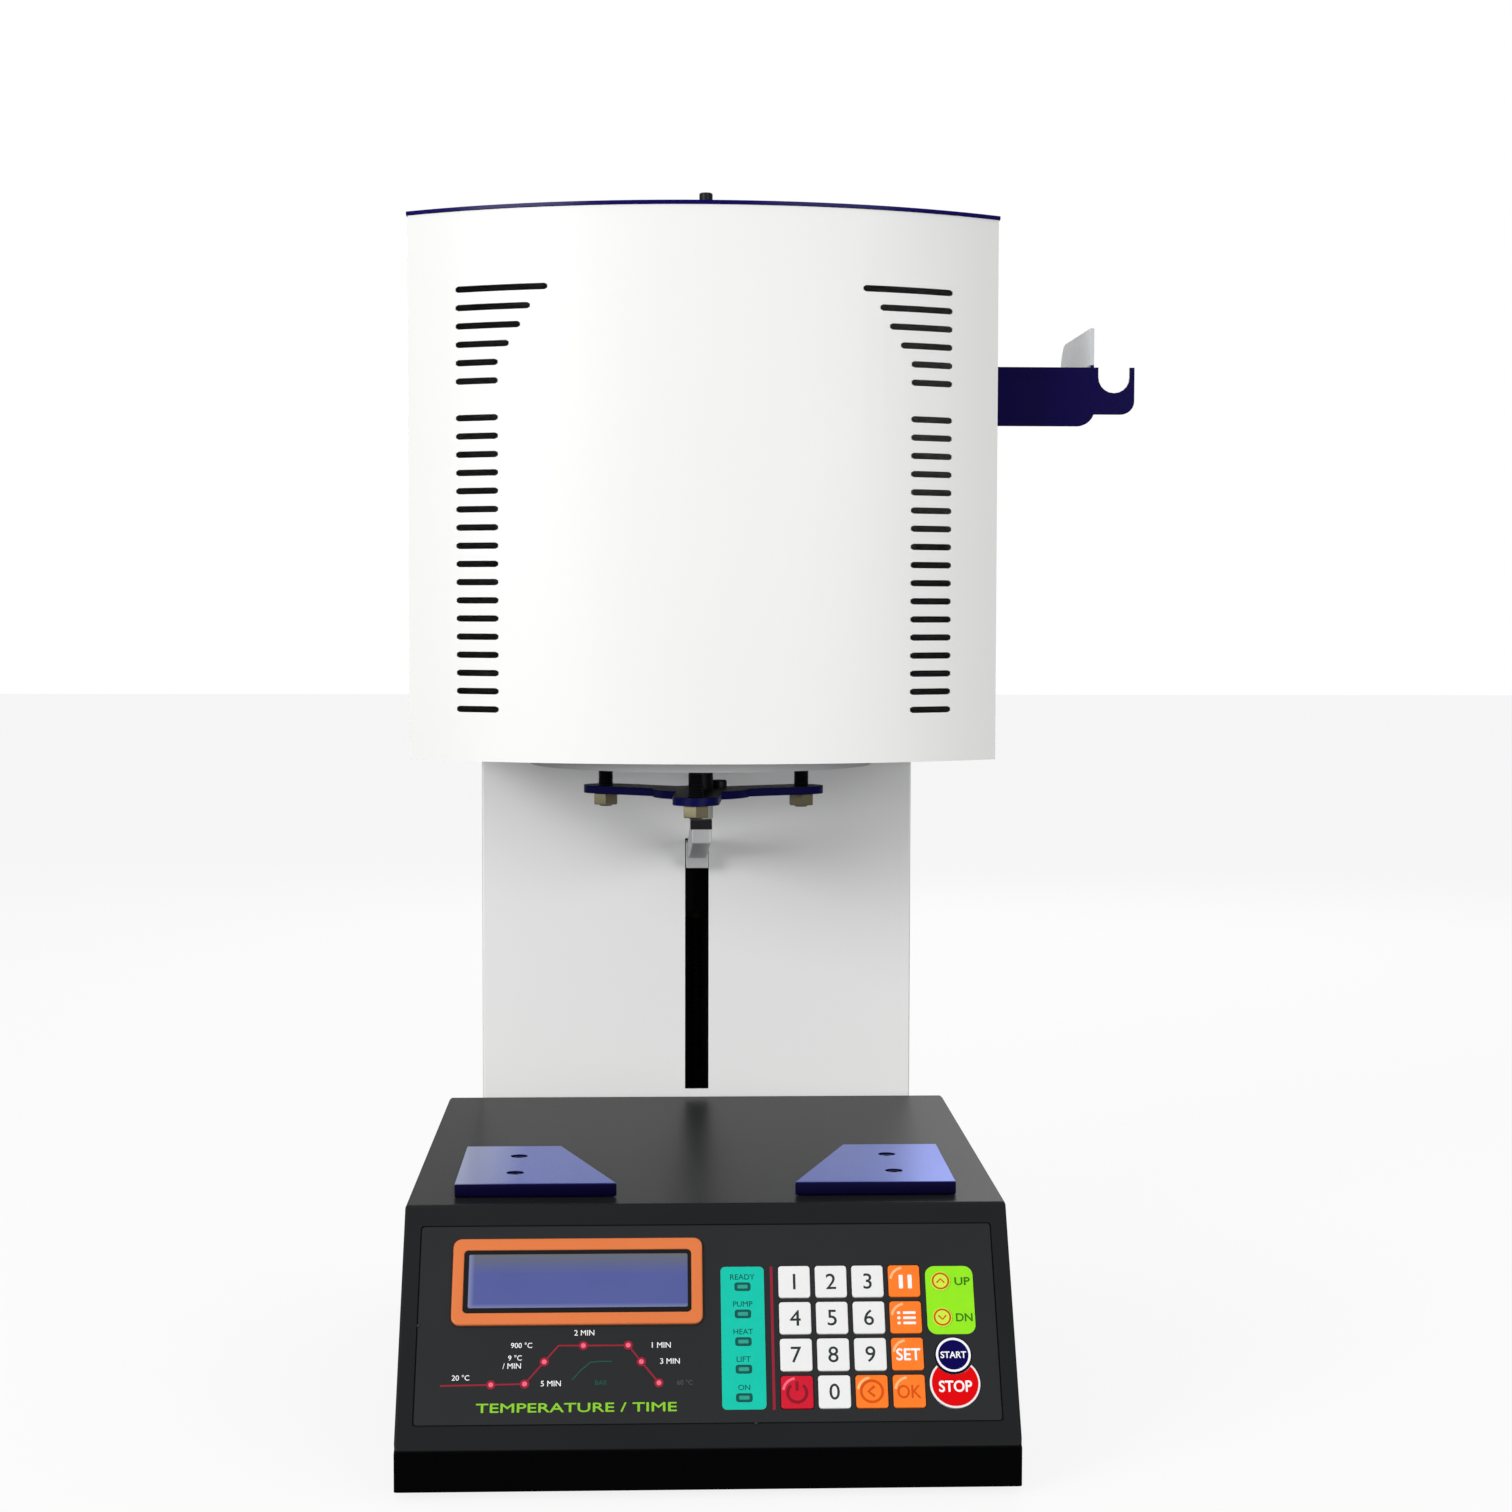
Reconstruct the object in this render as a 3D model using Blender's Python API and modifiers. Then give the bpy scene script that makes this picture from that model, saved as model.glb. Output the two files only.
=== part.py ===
"""Dental lab furnace: a firing chamber on a column above a console.

Metres, +Z up, front towards -Y. The furnace stands on its four feet at z = 0,
and the centre of its footprint box lies at x = y = 0. Below, y counts back
from the front skirt and x from the middle of the console, and one empty
shifts all of it to the centre of the box.
"""

import bmesh
import bpy
from math import asin, atan2, cos, hypot, pi, radians, sin, sqrt, tan
from mathutils import Matrix, Vector

MM = 0.001

# Common values
GAP = 0.3 * MM
OVERRUN = 1.0 * MM
MERGE = 0.00005
ROUND_STEPS = 40
SMALL_STEPS = 20
CORNER_STEPS = 3
SHARP_ANGLE = radians(30)

# Base and console
FOOT_HEIGHT = 4.0 * MM
FOOT_RADIUS = 11.0 * MM
FOOT_INSET = 24.0 * MM
BASE_WIDTH = 300.0 * MM
BASE_DEPTH = 364.0 * MM
SKIRT_HEIGHT = 19.9 * MM
BASE_HEIGHT = 122.9 * MM
SLOPE_DEPTH = 67.5 * MM
CONSOLE_WALL = 2.5 * MM
CONSOLE_FOLD = 1.5 * MM
WIRING_GATE_HEIGHT = 96.0 * MM
PAN_SHEET = 2.0 * MM
PAN_RIM = 10.0 * MM

# Control panel, in the plane of the slope: x across, s up from the skirt
PANEL_MARGIN = 9.0 * MM
PANEL_LOW = 12.4 * MM
PANEL_HIGH = 111.6 * MM
PANEL_SHEET = 1.0 * MM
PANEL_PROUD = 0.1 * MM
PANEL_CORNER = 1.5 * MM
PANEL_GROOVE = 0.7 * MM
BEZEL_MARGIN = 15.9 * MM
BEZEL_TO_MIDDLE = 2.5 * MM
BEZEL_S = 82.9 * MM
BEZEL_HEIGHT = 43.9 * MM
BEZEL_BAND_X = 5.6 * MM
BEZEL_BAND_S = 6.1 * MM
BEZEL_THICKNESS = 1.6 * MM
BEZEL_CORNER = 2.0 * MM
GLASS_RECESS = 0.8 * MM
MODULE_MARGIN = 4.0 * MM
MODULE_DEPTH = 9.0 * MM

# Keys
KEYPAD_LEFT = 33.565 * MM
SIDE_KEYS_WIDTH = 35.155 * MM
KEY_S = 82.0 * MM
KEY_PITCH_S = 18.4 * MM
KEY_SPACE = 2.47 * MM
KEY_HEIGHT = 16.2 * MM
KEY_PROUD = 0.6 * MM
KEY_TRAVEL = 0.5 * MM
KEY_CORNER = 1.2 * MM
KEY_CORNER_STEPS = 2
KEY_SIDE_GAP = 0.35 * MM
ARROW_MARGIN = 26.2 * MM
ARROW_RADIUS = 4.9 * MM
UP_S = 81.8 * MM
DOWN_S = 63.4 * MM
START_MARGIN = 21.9 * MM
START_S = 44.5 * MM
START_RADIUS = 8.8 * MM
STOP_MARGIN = 21.8 * MM
STOP_S = 30.5 * MM
STOP_RADIUS = 12.3 * MM
KEY_NAMES = (
    ("key_1", "key_2", "key_3", "key_idle"),
    ("key_4", "key_5", "key_6", "key_program"),
    ("key_7", "key_8", "key_9", "key_set"),
    ("key_power", "key_0", "key_back", "key_ok"),
)
BOARD_THICKNESS = 1.6 * MM
BOARD_MARGIN = 4.5 * MM

# Cooling plates on the base top
PLATE_MARGIN = 23.2 * MM
PLATE_FRONT_WIDTH = 81.9 * MM
PLATE_BACK_WIDTH = 50.8 * MM
PLATE_SETBACK = 15.5 * MM
PLATE_DEPTH = 95.5 * MM
PLATE_THICKNESS = 6.9 * MM
PLATE_EDGE = 0.8 * MM
PLATE_SCREW_INSET = 29.3 * MM
PLATE_SCREW_FRONT = 26.7 * MM
PLATE_SCREW_BACK = 26.8 * MM
PLATE_SCREW_RADIUS = 4.6 * MM
PLATE_SCREW_SINK = 4.5 * MM

# Column
COLUMN_INSET = 20.0 * MM
COLUMN_DEPTH = 120.0 * MM
COLUMN_SHEET = 1.5 * MM
COLUMN_FOLD = 1.5 * MM
SLOT_WIDTH = 14.3 * MM
SLOT_LOW = 4.5 * MM
SLOT_CLEARANCE = 1.0 * MM
REAR_SHEET = 2.0 * MM
REAR_VENTS = 7
REAR_VENT_LENGTH = 90.0 * MM
REAR_VENT_HEIGHT = 4.0 * MM
REAR_VENT_PITCH = 12.0 * MM
REAR_VENT_DROP = 47.0 * MM

# Muffle housing
HOUSING_OVERHANG = 4.25 * MM
HOUSING_BOTTOM = 344.3 * MM
HOUSING_TOP = 627.0 * MM
HOUSING_SIDE = 210.0 * MM
HOUSING_SAGITTA = 48.1 * MM
HOUSING_SHEET = 1.5 * MM
HOUSING_ARC_STEPS = 28
HOUSING_RETURN = 32.0 * MM
COVER_SHEET = 1.8 * MM
COVER_LIP = 0.8 * MM
COVER_SCREW_RADIUS = 3.4 * MM
COVER_SCREW_HEIGHT = 4.4 * MM
COVER_SCREW_INSET = 9.0 * MM
VENT_HEIGHT = 3.3 * MM
VENT_PITCH = 9.40 * MM
VENT_MARGIN = 25.6 * MM
UPPER_VENT_TOP = 587.1 * MM
UPPER_VENT_LENGTHS = (48.4 * MM, 39.4 * MM, 34.3 * MM, 28.4 * MM, 22.6 * MM, 22.6 * MM)
LOWER_VENT_TOP = 521.3 * MM
LOWER_VENT_LENGTH = 22.6 * MM
LOWER_VENT_PITCH = 9.37 * MM
LOWER_VENTS = 17
VENT_STEPS = 3

# Firing chamber
CHAMBER_SETBACK = 129.0 * MM
FLOOR_RECESS = 1.0 * MM
FLOOR_THICKNESS = 4.0 * MM
FLOOR_HOLE = 70.0 * MM
POT_SEAT = 12.0 * MM
POT_FLANGE_RIM = 8.0 * MM
POT_WALL = 2.5 * MM
POT_HEIGHT = 150.0 * MM
LINER_CLEARANCE = 0.5 * MM
LINER_ROOF = 35.0 * MM
LINER_HEIGHT = 140.0 * MM
MUFFLE_RADIUS = 50.0 * MM
MUFFLE_WALL = 3.5 * MM
MUFFLE_HEIGHT = 96.0 * MM
PROBE_RADIUS = 2.0 * MM
PROBE_HEAD_RADIUS = 6.0 * MM
PROBE_HEAD_HEIGHT = 9.0 * MM
PROBE_REACH = 10.0 * MM

# Lift, shown raised
LIFT_TRAVEL = 125.0 * MM
LIFT_END_CLEARANCE = 9.0 * MM
DISC_RIM = 25.0 * MM
DISC_UNDERSIDE = 338.0 * MM
DISC_THICKNESS = 6.0 * MM
DISC_STEP_CLEARANCE = 4.0 * MM
DISC_STEP_HEIGHT = 4.0 * MM
TABLE_STEM_RADIUS = 40.0 * MM
TABLE_RADIUS = 43.5 * MM
TABLE_HEIGHT = 44.0 * MM
TABLE_TOP_THICKNESS = 8.0 * MM
TABLE_RIM_WIDTH = 3.0 * MM
TABLE_RIM_HEIGHT = 2.0 * MM
TRIPOD_TOP = 323.4 * MM
TRIPOD_THICKNESS = 4.4 * MM
TRIPOD_TURN = radians(-3.5)
TRIPOD_REACH = 64.3 * MM
TRIPOD_TIP_RADIUS = 12.5 * MM
TRIPOD_HUB_RADIUS = 27.0 * MM
TRIPOD_ARMS = 3
TRIPOD_TIP_STEPS = 10
TRIPOD_HUB_STEPS = 5
BOSS_RADIUS = 6.7 * MM
STUD_RADIUS = 4.1 * MM
STUD_END = 0.8 * MM
NUT_FLATS = 13.0 * MM
NUT_HEIGHT = 6.5 * MM
ARM_THICKNESS = 11.2 * MM
ARM_TOP = 306.5 * MM
ARM_FRONT = 13.0 * MM
ARM_FRONT_HEIGHT = 13.0 * MM
ARM_TOP_FALL = 22.9 * MM
ARM_SLOPE_RISE = 21.3 * MM
ARM_HEEL_STEP = 4.5 * MM
ARM_HEEL_OUT = 2.0 * MM
ARM_NOSE = 1.2 * MM
CARRIAGE_SETBACK = 28.0 * MM
CARRIAGE_DEPTH = 27.4 * MM
CARRIAGE_WIDTH = 96.0 * MM
CARRIAGE_HEIGHT = 44.0 * MM
CARRIAGE_DROP = 25.5 * MM
LEAD_SCREW_RADIUS = 4.0 * MM
LEAD_SCREW_CLEARANCE = 0.4 * MM
NUT_BODY_RADIUS = 7.0 * MM
NUT_FLANGE_RADIUS = 13.0 * MM
NUT_FLANGE_HEIGHT = 4.0 * MM
ROD_RADIUS = 5.0 * MM
ROD_SPREAD = 36.0 * MM
FRAME_WIDTH = 110.0 * MM
FRAME_SHEET = 8.0 * MM
FRAME_BACK = 34.0 * MM
FRAME_HIGH = 338.0 * MM
COUPLER_RADIUS = 9.0 * MM
COUPLER_HEIGHT = 12.0 * MM
MOTOR_SIDE = 42.3 * MM
MOTOR_HEIGHT = 40.0 * MM
MOTOR_EDGE = 3.0 * MM

# Rear fittings, heights above the table
FITTING_HEIGHT = 70.0 * MM
INLET_X = 60.0 * MM
INLET_WIDTH = 27.4 * MM
INLET_HEIGHT = 19.8 * MM
INLET_DEPTH = 24.0 * MM
INLET_WALL = 1.7 * MM
INLET_FLOOR = 5.0 * MM
INLET_FLANGE_WIDTH = 50.0 * MM
INLET_FLANGE_HEIGHT = 27.0 * MM
INLET_FLANGE_SHEET = 2.0 * MM
PIN_PITCH = 7.0 * MM
PIN_WIDTH = 2.0 * MM
PIN_HEIGHT = 4.0 * MM
PIN_RISE = 3.0 * MM
PIN_DROP = 1.0 * MM
PIN_LENGTH = 14.0 * MM
SWITCH_X = 20.0 * MM
SWITCH_WIDTH = 12.0 * MM
SWITCH_HALF_HEIGHT = 9.0 * MM
SWITCH_FRONT_END = 4.2 * MM
SWITCH_FRONT_MIDDLE = 2.2 * MM
SWITCH_BACK = 6.0 * MM
SWITCH_TILT = radians(9)
SWITCH_CLEARANCE = 0.8 * MM
NOZZLE_X = -60.0 * MM
NOZZLE_RADIUS = 4.0 * MM
NOZZLE_BORE = 2.0 * MM
NOZZLE_LENGTH = 18.0 * MM
NOZZLE_COLLAR_RADIUS = 9.0 * MM
NOZZLE_COLLAR = 4.0 * MM
NOZZLE_TAIL = 9.0 * MM

# Tong holder on the right side
HOLDER_SHEET = 2.0 * MM
HOLDER_SETBACK = 174.0 * MM
HOLDER_LENGTH = 106.5 * MM
HOLDER_TOP = 554.0 * MM
HOLDER_DROP = 31.6 * MM
HOLDER_FENCE_OUT = 56.45 * MM
HOLDER_FENCE_RISE = 21.0 * MM
HOLDER_FENCE_CORNER = 18.0 * MM
HOLDER_FENCE_LIFT = 3.0 * MM
HOLDER_STEP_RISE = 6.4 * MM
HOLDER_BODY_RADIUS = 9.5 * MM
HOLDER_TAIL_RADIUS = 7.2 * MM
HOLDER_NOTCH_OUT = 67.35 * MM
HOLDER_NOTCH_RADIUS = 8.5 * MM
HOLDER_NOTCH_DEPTH = 13.7 * MM
HOLDER_TIP_OUT = 78.45 * MM
HOLDER_ARC_STEPS = 10

# Values that follow from those above
SLOPE_RISE = BASE_HEIGHT - SKIRT_HEIGHT
SLOPE_ANGLE = atan2(SLOPE_RISE, SLOPE_DEPTH)
BASE_TOP = FOOT_HEIGHT + BASE_HEIGHT
PANEL_WIDTH = BASE_WIDTH - 2 * PANEL_MARGIN
PANEL_SIDE = PANEL_WIDTH / 2
BEZEL_WIDTH = PANEL_SIDE - BEZEL_MARGIN - BEZEL_TO_MIDDLE
BEZEL_X = -BEZEL_TO_MIDDLE - BEZEL_WIDTH / 2
KEY_PITCH_X = (PANEL_SIDE - SIDE_KEYS_WIDTH - KEYPAD_LEFT) / len(KEY_NAMES[0])
KEY_WIDTH = KEY_PITCH_X - KEY_SPACE
KEY_X = KEYPAD_LEFT + KEY_PITCH_X / 2
ARROW_X = PANEL_SIDE - ARROW_MARGIN
START_X = PANEL_SIDE - START_MARGIN
STOP_X = PANEL_SIDE - STOP_MARGIN
PLATE_OUTER_X = BASE_WIDTH / 2 - PLATE_MARGIN
PLATE_INNER_FRONT_X = PLATE_OUTER_X - PLATE_FRONT_WIDTH
PLATE_INNER_BACK_X = PLATE_OUTER_X - PLATE_BACK_WIDTH
PLATE_FRONT_Y = SLOPE_DEPTH + PLATE_SETBACK
PLATE_BACK_Y = PLATE_FRONT_Y + PLATE_DEPTH
PLATE_SCREW_X = PLATE_OUTER_X - PLATE_SCREW_INSET
PLATE_SCREW_YS = (PLATE_FRONT_Y + PLATE_SCREW_FRONT, PLATE_BACK_Y - PLATE_SCREW_BACK)
COLUMN_WIDTH = BASE_WIDTH - 2 * COLUMN_INSET
HOUSING_WIDTH = BASE_WIDTH + 2 * HOUSING_OVERHANG
HOUSING_CORNER_Y = BASE_DEPTH - HOUSING_SIDE
CHAMBER_Y = BASE_DEPTH - CHAMBER_SETBACK
VENT_OUTER_X = HOUSING_WIDTH / 2 - VENT_MARGIN
KEY_THICKNESS = PANEL_PROUD + KEY_PROUD + CONSOLE_WALL - KEY_TRAVEL
COLUMN_Y = BASE_DEPTH + GAP
REAR_Y = COLUMN_Y + COLUMN_DEPTH
REAR_VENT_TOP = HOUSING_TOP - REAR_VENT_DROP
PAN_TOP = FOOT_HEIGHT + PAN_SHEET
PAN_NECK_WIDTH = COLUMN_WIDTH - 2 * (COLUMN_SHEET + GAP)
PAN_REAR_Y = REAR_Y - REAR_SHEET - GAP
COVER_TOP = HOUSING_TOP + GAP + COVER_SHEET
FLOOR_UNDERSIDE = HOUSING_BOTTOM + FLOOR_RECESS
FLOOR_TOP = FLOOR_UNDERSIDE + FLOOR_THICKNESS
POT_BOTTOM = FLOOR_TOP + GAP
POT_RADIUS = FLOOR_HOLE + POT_SEAT
POT_FLANGE = POT_RADIUS + POT_FLANGE_RIM
LINER_RADIUS = POT_RADIUS - POT_WALL - LINER_CLEARANCE
POT_TOP = POT_BOTTOM + POT_HEIGHT
LINER_BORE = MUFFLE_RADIUS + GAP
LINER_TOP = POT_BOTTOM + LINER_HEIGHT
LINER_CEILING = LINER_TOP - LINER_ROOF
DISC_RADIUS = FLOOR_HOLE + DISC_RIM
DISC_STEP_RADIUS = FLOOR_HOLE - DISC_STEP_CLEARANCE
DISC_TOP = DISC_UNDERSIDE + DISC_THICKNESS
STEP_TOP = DISC_TOP + DISC_STEP_HEIGHT
TABLE_BOTTOM = STEP_TOP + GAP
TABLE_TOP = TABLE_BOTTOM + TABLE_HEIGHT
ARM_REAR_Y = COLUMN_Y + CARRIAGE_SETBACK
CARRIAGE_Y = ARM_REAR_Y + GAP
SCREW_Y = CARRIAGE_Y + CARRIAGE_DEPTH / 2
SLOT_HIGH = ARM_TOP - ARM_TOP_FALL + SLOT_CLEARANCE
NUT_LOW = ARM_TOP - CARRIAGE_DROP - CARRIAGE_HEIGHT - GAP - NUT_FLANGE_HEIGHT
FRAME_BACK_Y = SCREW_Y + FRAME_BACK
FRAME_FRONT_Y = SCREW_Y - MOTOR_SIDE / 2
SEAT_TOP = NUT_LOW - LIFT_TRAVEL - LIFT_END_CLEARANCE - COUPLER_HEIGHT - GAP
FRAME_LOW = SEAT_TOP - FRAME_SHEET
SEAT_ROOF = FRAME_HIGH - FRAME_SHEET
HOLDER_SIDE_X = HOUSING_WIDTH / 2 + GAP
HOLDER_Y = BASE_DEPTH - HOLDER_SETBACK
HOLDER_FENCE_X = HOLDER_SIDE_X + HOLDER_FENCE_OUT
HOLDER_NOTCH_X = HOLDER_SIDE_X + HOLDER_NOTCH_OUT
HOLDER_TIP_X = HOLDER_SIDE_X + HOLDER_TIP_OUT

LEFT_X = -HOUSING_WIDTH / 2 - COVER_LIP
RIGHT_X = HOLDER_TIP_X
BACK_Y = REAR_Y + NOZZLE_LENGTH
CENTRE_X = (LEFT_X + RIGHT_X) / 2
CENTRE_Y = BACK_Y / 2


# Scene and helpers


def clear_scene():
    for item in list(bpy.data.objects):
        bpy.data.objects.remove(item, do_unlink=True)


def new_collection(name):
    collection = bpy.data.collections.new(name)
    bpy.context.scene.collection.children.link(collection)
    return collection


clear_scene()
PARTS = new_collection("dental_lab_furnace")
CUTTERS = new_collection("cutters")


def new_empty(name, location, parent=None, rotation=(0, 0, 0)):
    empty = bpy.data.objects.new(name, None)
    PARTS.objects.link(empty)
    empty.location = location
    empty.rotation_euler = rotation
    empty.parent = parent
    return empty


FURNACE = new_empty("furnace_centre", (-CENTRE_X, -CENTRE_Y, 0))
SLOPE = new_empty("slope", (0, 0, FOOT_HEIGHT + SKIRT_HEIGHT), FURNACE, (SLOPE_ANGLE, 0, 0))
LIFT = new_empty("lift", (0, SCREW_Y, ARM_TOP), FURNACE)


def finish(name, colour, roughness, metallic=0.0):
    """One Principled material, its colour given as sRGB values from 0 to 1."""
    material = bpy.data.materials.new(name)
    material.use_nodes = True
    shader = material.node_tree.nodes["Principled BSDF"]
    linear = [channel ** 2.2 for channel in colour]
    shader.inputs["Base Color"].default_value = (*linear, 1)
    shader.inputs["Roughness"].default_value = roughness
    shader.inputs["Metallic"].default_value = metallic
    material.diffuse_color = (*linear, 1)
    return material


def add_part(name, mesh, colour, roughness, metallic=0.0, parent=FURNACE, location=(0, 0, 0)):
    part = bpy.data.objects.new(name, mesh)
    PARTS.objects.link(part)
    part.parent = parent
    part.location = location
    mesh.materials.clear()
    mesh.materials.append(finish(name, colour, roughness, metallic))
    return part


def mesh_from(work, name="mesh", smooth=False):
    bmesh.ops.recalc_face_normals(work, faces=work.faces)
    mesh = bpy.data.meshes.new(name)
    work.to_mesh(mesh)
    work.free()
    if smooth:
        mesh.shade_smooth()
        mesh.set_sharp_from_angle(angle=SHARP_ANGLE)
    return mesh


def box_mesh(x, y, z):
    """A box between pairs of limits along each axis."""
    size = Vector((x[1] - x[0], y[1] - y[0], z[1] - z[0]))
    middle = Vector((x[0] + x[1], y[0] + y[1], z[0] + z[1])) / 2
    work = bmesh.new()
    place = Matrix.Translation(middle) @ Matrix.Diagonal(size.to_4d())
    bmesh.ops.create_cube(work, size=1, matrix=place)
    return mesh_from(work)


def rounded_mesh(mesh, width, chosen):
    """The same closed shape with the chosen edges rounded over."""
    work = bmesh.new()
    work.from_mesh(mesh)
    bmesh.ops.dissolve_limit(work, angle_limit=MERGE, verts=work.verts, edges=work.edges)
    edges = [edge for edge in work.edges if chosen(edge)]
    bmesh.ops.bevel(work, geom=edges, offset=width, segments=2, profile=0.5, affect="EDGES")
    return mesh_from(work)


def rod_mesh(radius, low, high, x=0, y=0, steps=ROUND_STEPS):
    work = bmesh.new()
    place = Matrix.Translation((x, y, (low + high) / 2))
    bmesh.ops.create_cone(
        work,
        cap_ends=True,
        segments=steps,
        radius1=radius,
        radius2=radius,
        depth=high - low,
        matrix=place,
    )
    return mesh_from(work, smooth=True)


def outline_mesh(outline, thickness, matrix=Matrix()):
    """A flat outline as a filled 2D curve, centred on its plane, made a mesh."""
    curve = bpy.data.curves.new("outline", "CURVE")
    curve.dimensions = "2D"
    curve.fill_mode = "BOTH"
    curve.extrude = thickness / 2
    spline = curve.splines.new("POLY")
    spline.points.add(len(outline) - 1)
    for point, (across, up) in zip(spline.points, outline):
        point.co = (across, up, 0, 1)
    spline.use_cyclic_u = True
    shape = bpy.data.objects.new("outline", curve)
    CUTTERS.objects.link(shape)
    bpy.context.view_layer.update()
    graph = bpy.context.evaluated_depsgraph_get()
    mesh = bpy.data.meshes.new_from_object(shape.evaluated_get(graph))
    bpy.data.objects.remove(shape, do_unlink=True)
    work = bmesh.new()
    work.from_mesh(mesh)
    bmesh.ops.remove_doubles(work, verts=work.verts, dist=MERGE)
    bmesh.ops.transform(work, verts=work.verts, matrix=matrix)
    return mesh_from(work)


def turned(
    name, profile, colour, roughness, metallic=0.0, parent=FURNACE, location=(0, 0, 0), closed=True
):
    """A turned piece: radius and height pairs, down the outer side, round local Z."""
    work = bmesh.new()
    ring = [work.verts.new((radius, 0, height)) for radius, height in profile]
    for first, second in zip(ring, ring[1:]):
        work.edges.new((first, second))
    if closed:
        work.edges.new((ring[-1], ring[0]))
    mesh = bpy.data.meshes.new(name)
    work.to_mesh(mesh)
    work.free()
    part = add_part(name, mesh, colour, roughness, metallic, parent, location)
    screw = part.modifiers.new("turn", "SCREW")
    screw.steps = ROUND_STEPS
    screw.render_steps = ROUND_STEPS
    screw.use_merge_vertices = True
    screw.merge_threshold = MERGE
    return part


def round_edges(part, width, segments=2, angle=SHARP_ANGLE):
    bevel = part.modifiers.new("round edges", "BEVEL")
    bevel.width = width
    bevel.segments = segments
    bevel.limit_method = "ANGLE"
    bevel.angle_limit = angle


def thicken(part, thickness):
    """Solidify inwards from an outer surface."""
    solidify = part.modifiers.new("sheet", "SOLIDIFY")
    solidify.thickness = thickness
    solidify.offset = -1
    solidify.use_even_offset = True


def combine(part, mesh, operation, parent=None, location=(0, 0, 0)):
    """Boolean with a hidden shape in the same frame as the part, or in the parent's."""
    tool = bpy.data.objects.new(part.name + "_" + operation.lower(), mesh)
    CUTTERS.objects.link(tool)
    tool.parent = parent or part.parent
    tool.location = location if parent else Vector(location) + part.location
    tool.hide_render = True
    tool.display_type = "WIRE"
    boolean = part.modifiers.new(operation.lower(), "BOOLEAN")
    boolean.operation = operation
    boolean.object = tool
    boolean.solver = "EXACT"


def cut(part, mesh, parent=None, location=(0, 0, 0)):
    combine(part, mesh, "DIFFERENCE", parent, location)


def join(part, mesh):
    combine(part, mesh, "UNION")


def merged_mesh(meshes):
    """Shapes that don't meet, as one mesh, for a cutter."""
    work = bmesh.new()
    for mesh in meshes:
        work.from_mesh(mesh)
    return mesh_from(work)


def arc_points(centre, radius, start, end, steps):
    return [
        (
            centre[0] + radius * cos(start + (end - start) * step / steps),
            centre[1] + radius * sin(start + (end - start) * step / steps),
        )
        for step in range(steps + 1)
    ]


def rectangle(width, height, centre=(0, 0)):
    across, up = width / 2, height / 2
    return [
        (centre[0] - across, centre[1] - up),
        (centre[0] + across, centre[1] - up),
        (centre[0] + across, centre[1] + up),
        (centre[0] - across, centre[1] + up),
    ]


def rounded_rectangle(width, height, corner, centre=(0, 0), steps=CORNER_STEPS):
    points = []
    for turn, (side_x, side_y) in enumerate(((1, -1), (1, 1), (-1, 1), (-1, -1))):
        middle = (
            centre[0] + side_x * (width / 2 - corner),
            centre[1] + side_y * (height / 2 - corner),
        )
        start = (turn - 1) * pi / 2
        points += arc_points(middle, corner, start, start + pi / 2, steps)
    return points


# An outline's own axes, set upright: across to X and up to Z, or across to Y and up to Z
UPRIGHT_XZ = Matrix.Rotation(pi / 2, 4, "X")
UPRIGHT_YZ = Matrix(((0, 0, 1, 0), (1, 0, 0, 0), (0, 1, 0, 0), (0, 0, 0, 1)))


# Colours, as sRGB

WHITE_COAT = (0.95, 0.95, 0.94)
CONSOLE_BLACK = (0.13, 0.13, 0.14)
NAVY = (0.04, 0.02, 0.34)
STEEL = (0.72, 0.73, 0.74)
ALUMINIUM = (0.80, 0.81, 0.82)
DARK_STEEL = (0.12, 0.12, 0.13)
BRASS = (0.78, 0.62, 0.30)
FIBRE = (0.93, 0.91, 0.86)
CERAMIC = (0.88, 0.80, 0.70)
RUBBER = (0.05, 0.05, 0.05)
PLASTIC_BLACK = (0.06, 0.06, 0.06)
KEY_WHITE = (0.98, 0.98, 0.98)
KEY_ORANGE = (0.98, 0.48, 0.14)
KEY_RED = (0.87, 0.06, 0.19)
KEY_LIME = (0.58, 0.93, 0.07)
BEZEL_ORANGE = (0.96, 0.54, 0.25)
SCREEN_BLUE = (0.35, 0.39, 0.66)
BOARD_GREEN = (0.10, 0.32, 0.18)


# Base and console


def tee_outline(inset, front_y):
    """Plan of the pan: wide under the console, narrow under the column."""
    half = BASE_WIDTH / 2 - CONSOLE_WALL - GAP - inset
    neck = PAN_NECK_WIDTH / 2 - inset
    shoulder = BASE_DEPTH - CONSOLE_WALL - GAP - inset
    rear = PAN_REAR_Y - inset
    return [
        (-half, front_y),
        (half, front_y),
        (half, shoulder),
        (neck, shoulder),
        (neck, rear),
        (-neck, rear),
        (-neck, shoulder),
        (-half, shoulder),
    ]


def make_base_pan():
    front = CONSOLE_WALL + GAP
    outer = tee_outline(0, front)
    pan = add_part(
        "base_pan",
        outline_mesh(outer, PAN_RIM, Matrix.Translation((0, 0, FOOT_HEIGHT + PAN_RIM / 2))),
        STEEL, 0.4, 0.9,
    )
    inner = tee_outline(PAN_SHEET, front + PAN_SHEET)
    cut(pan, outline_mesh(inner, PAN_RIM, Matrix.Translation((0, 0, PAN_TOP + PAN_RIM / 2))))


def make_feet():
    rows = {"front": FOOT_INSET, "rear": REAR_Y - FOOT_INSET}
    spread = {"front": BASE_WIDTH / 2 - FOOT_INSET, "rear": COLUMN_WIDTH / 2 - FOOT_INSET}
    for row, y in rows.items():
        for side, sign in (("left", -1), ("right", 1)):
            mesh = rod_mesh(FOOT_RADIUS, 0, FOOT_HEIGHT - GAP, steps=SMALL_STEPS)
            add_part("foot_%s_%s" % (row, side), mesh, RUBBER, 0.9, location=(sign * spread[row], y, 0))


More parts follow.
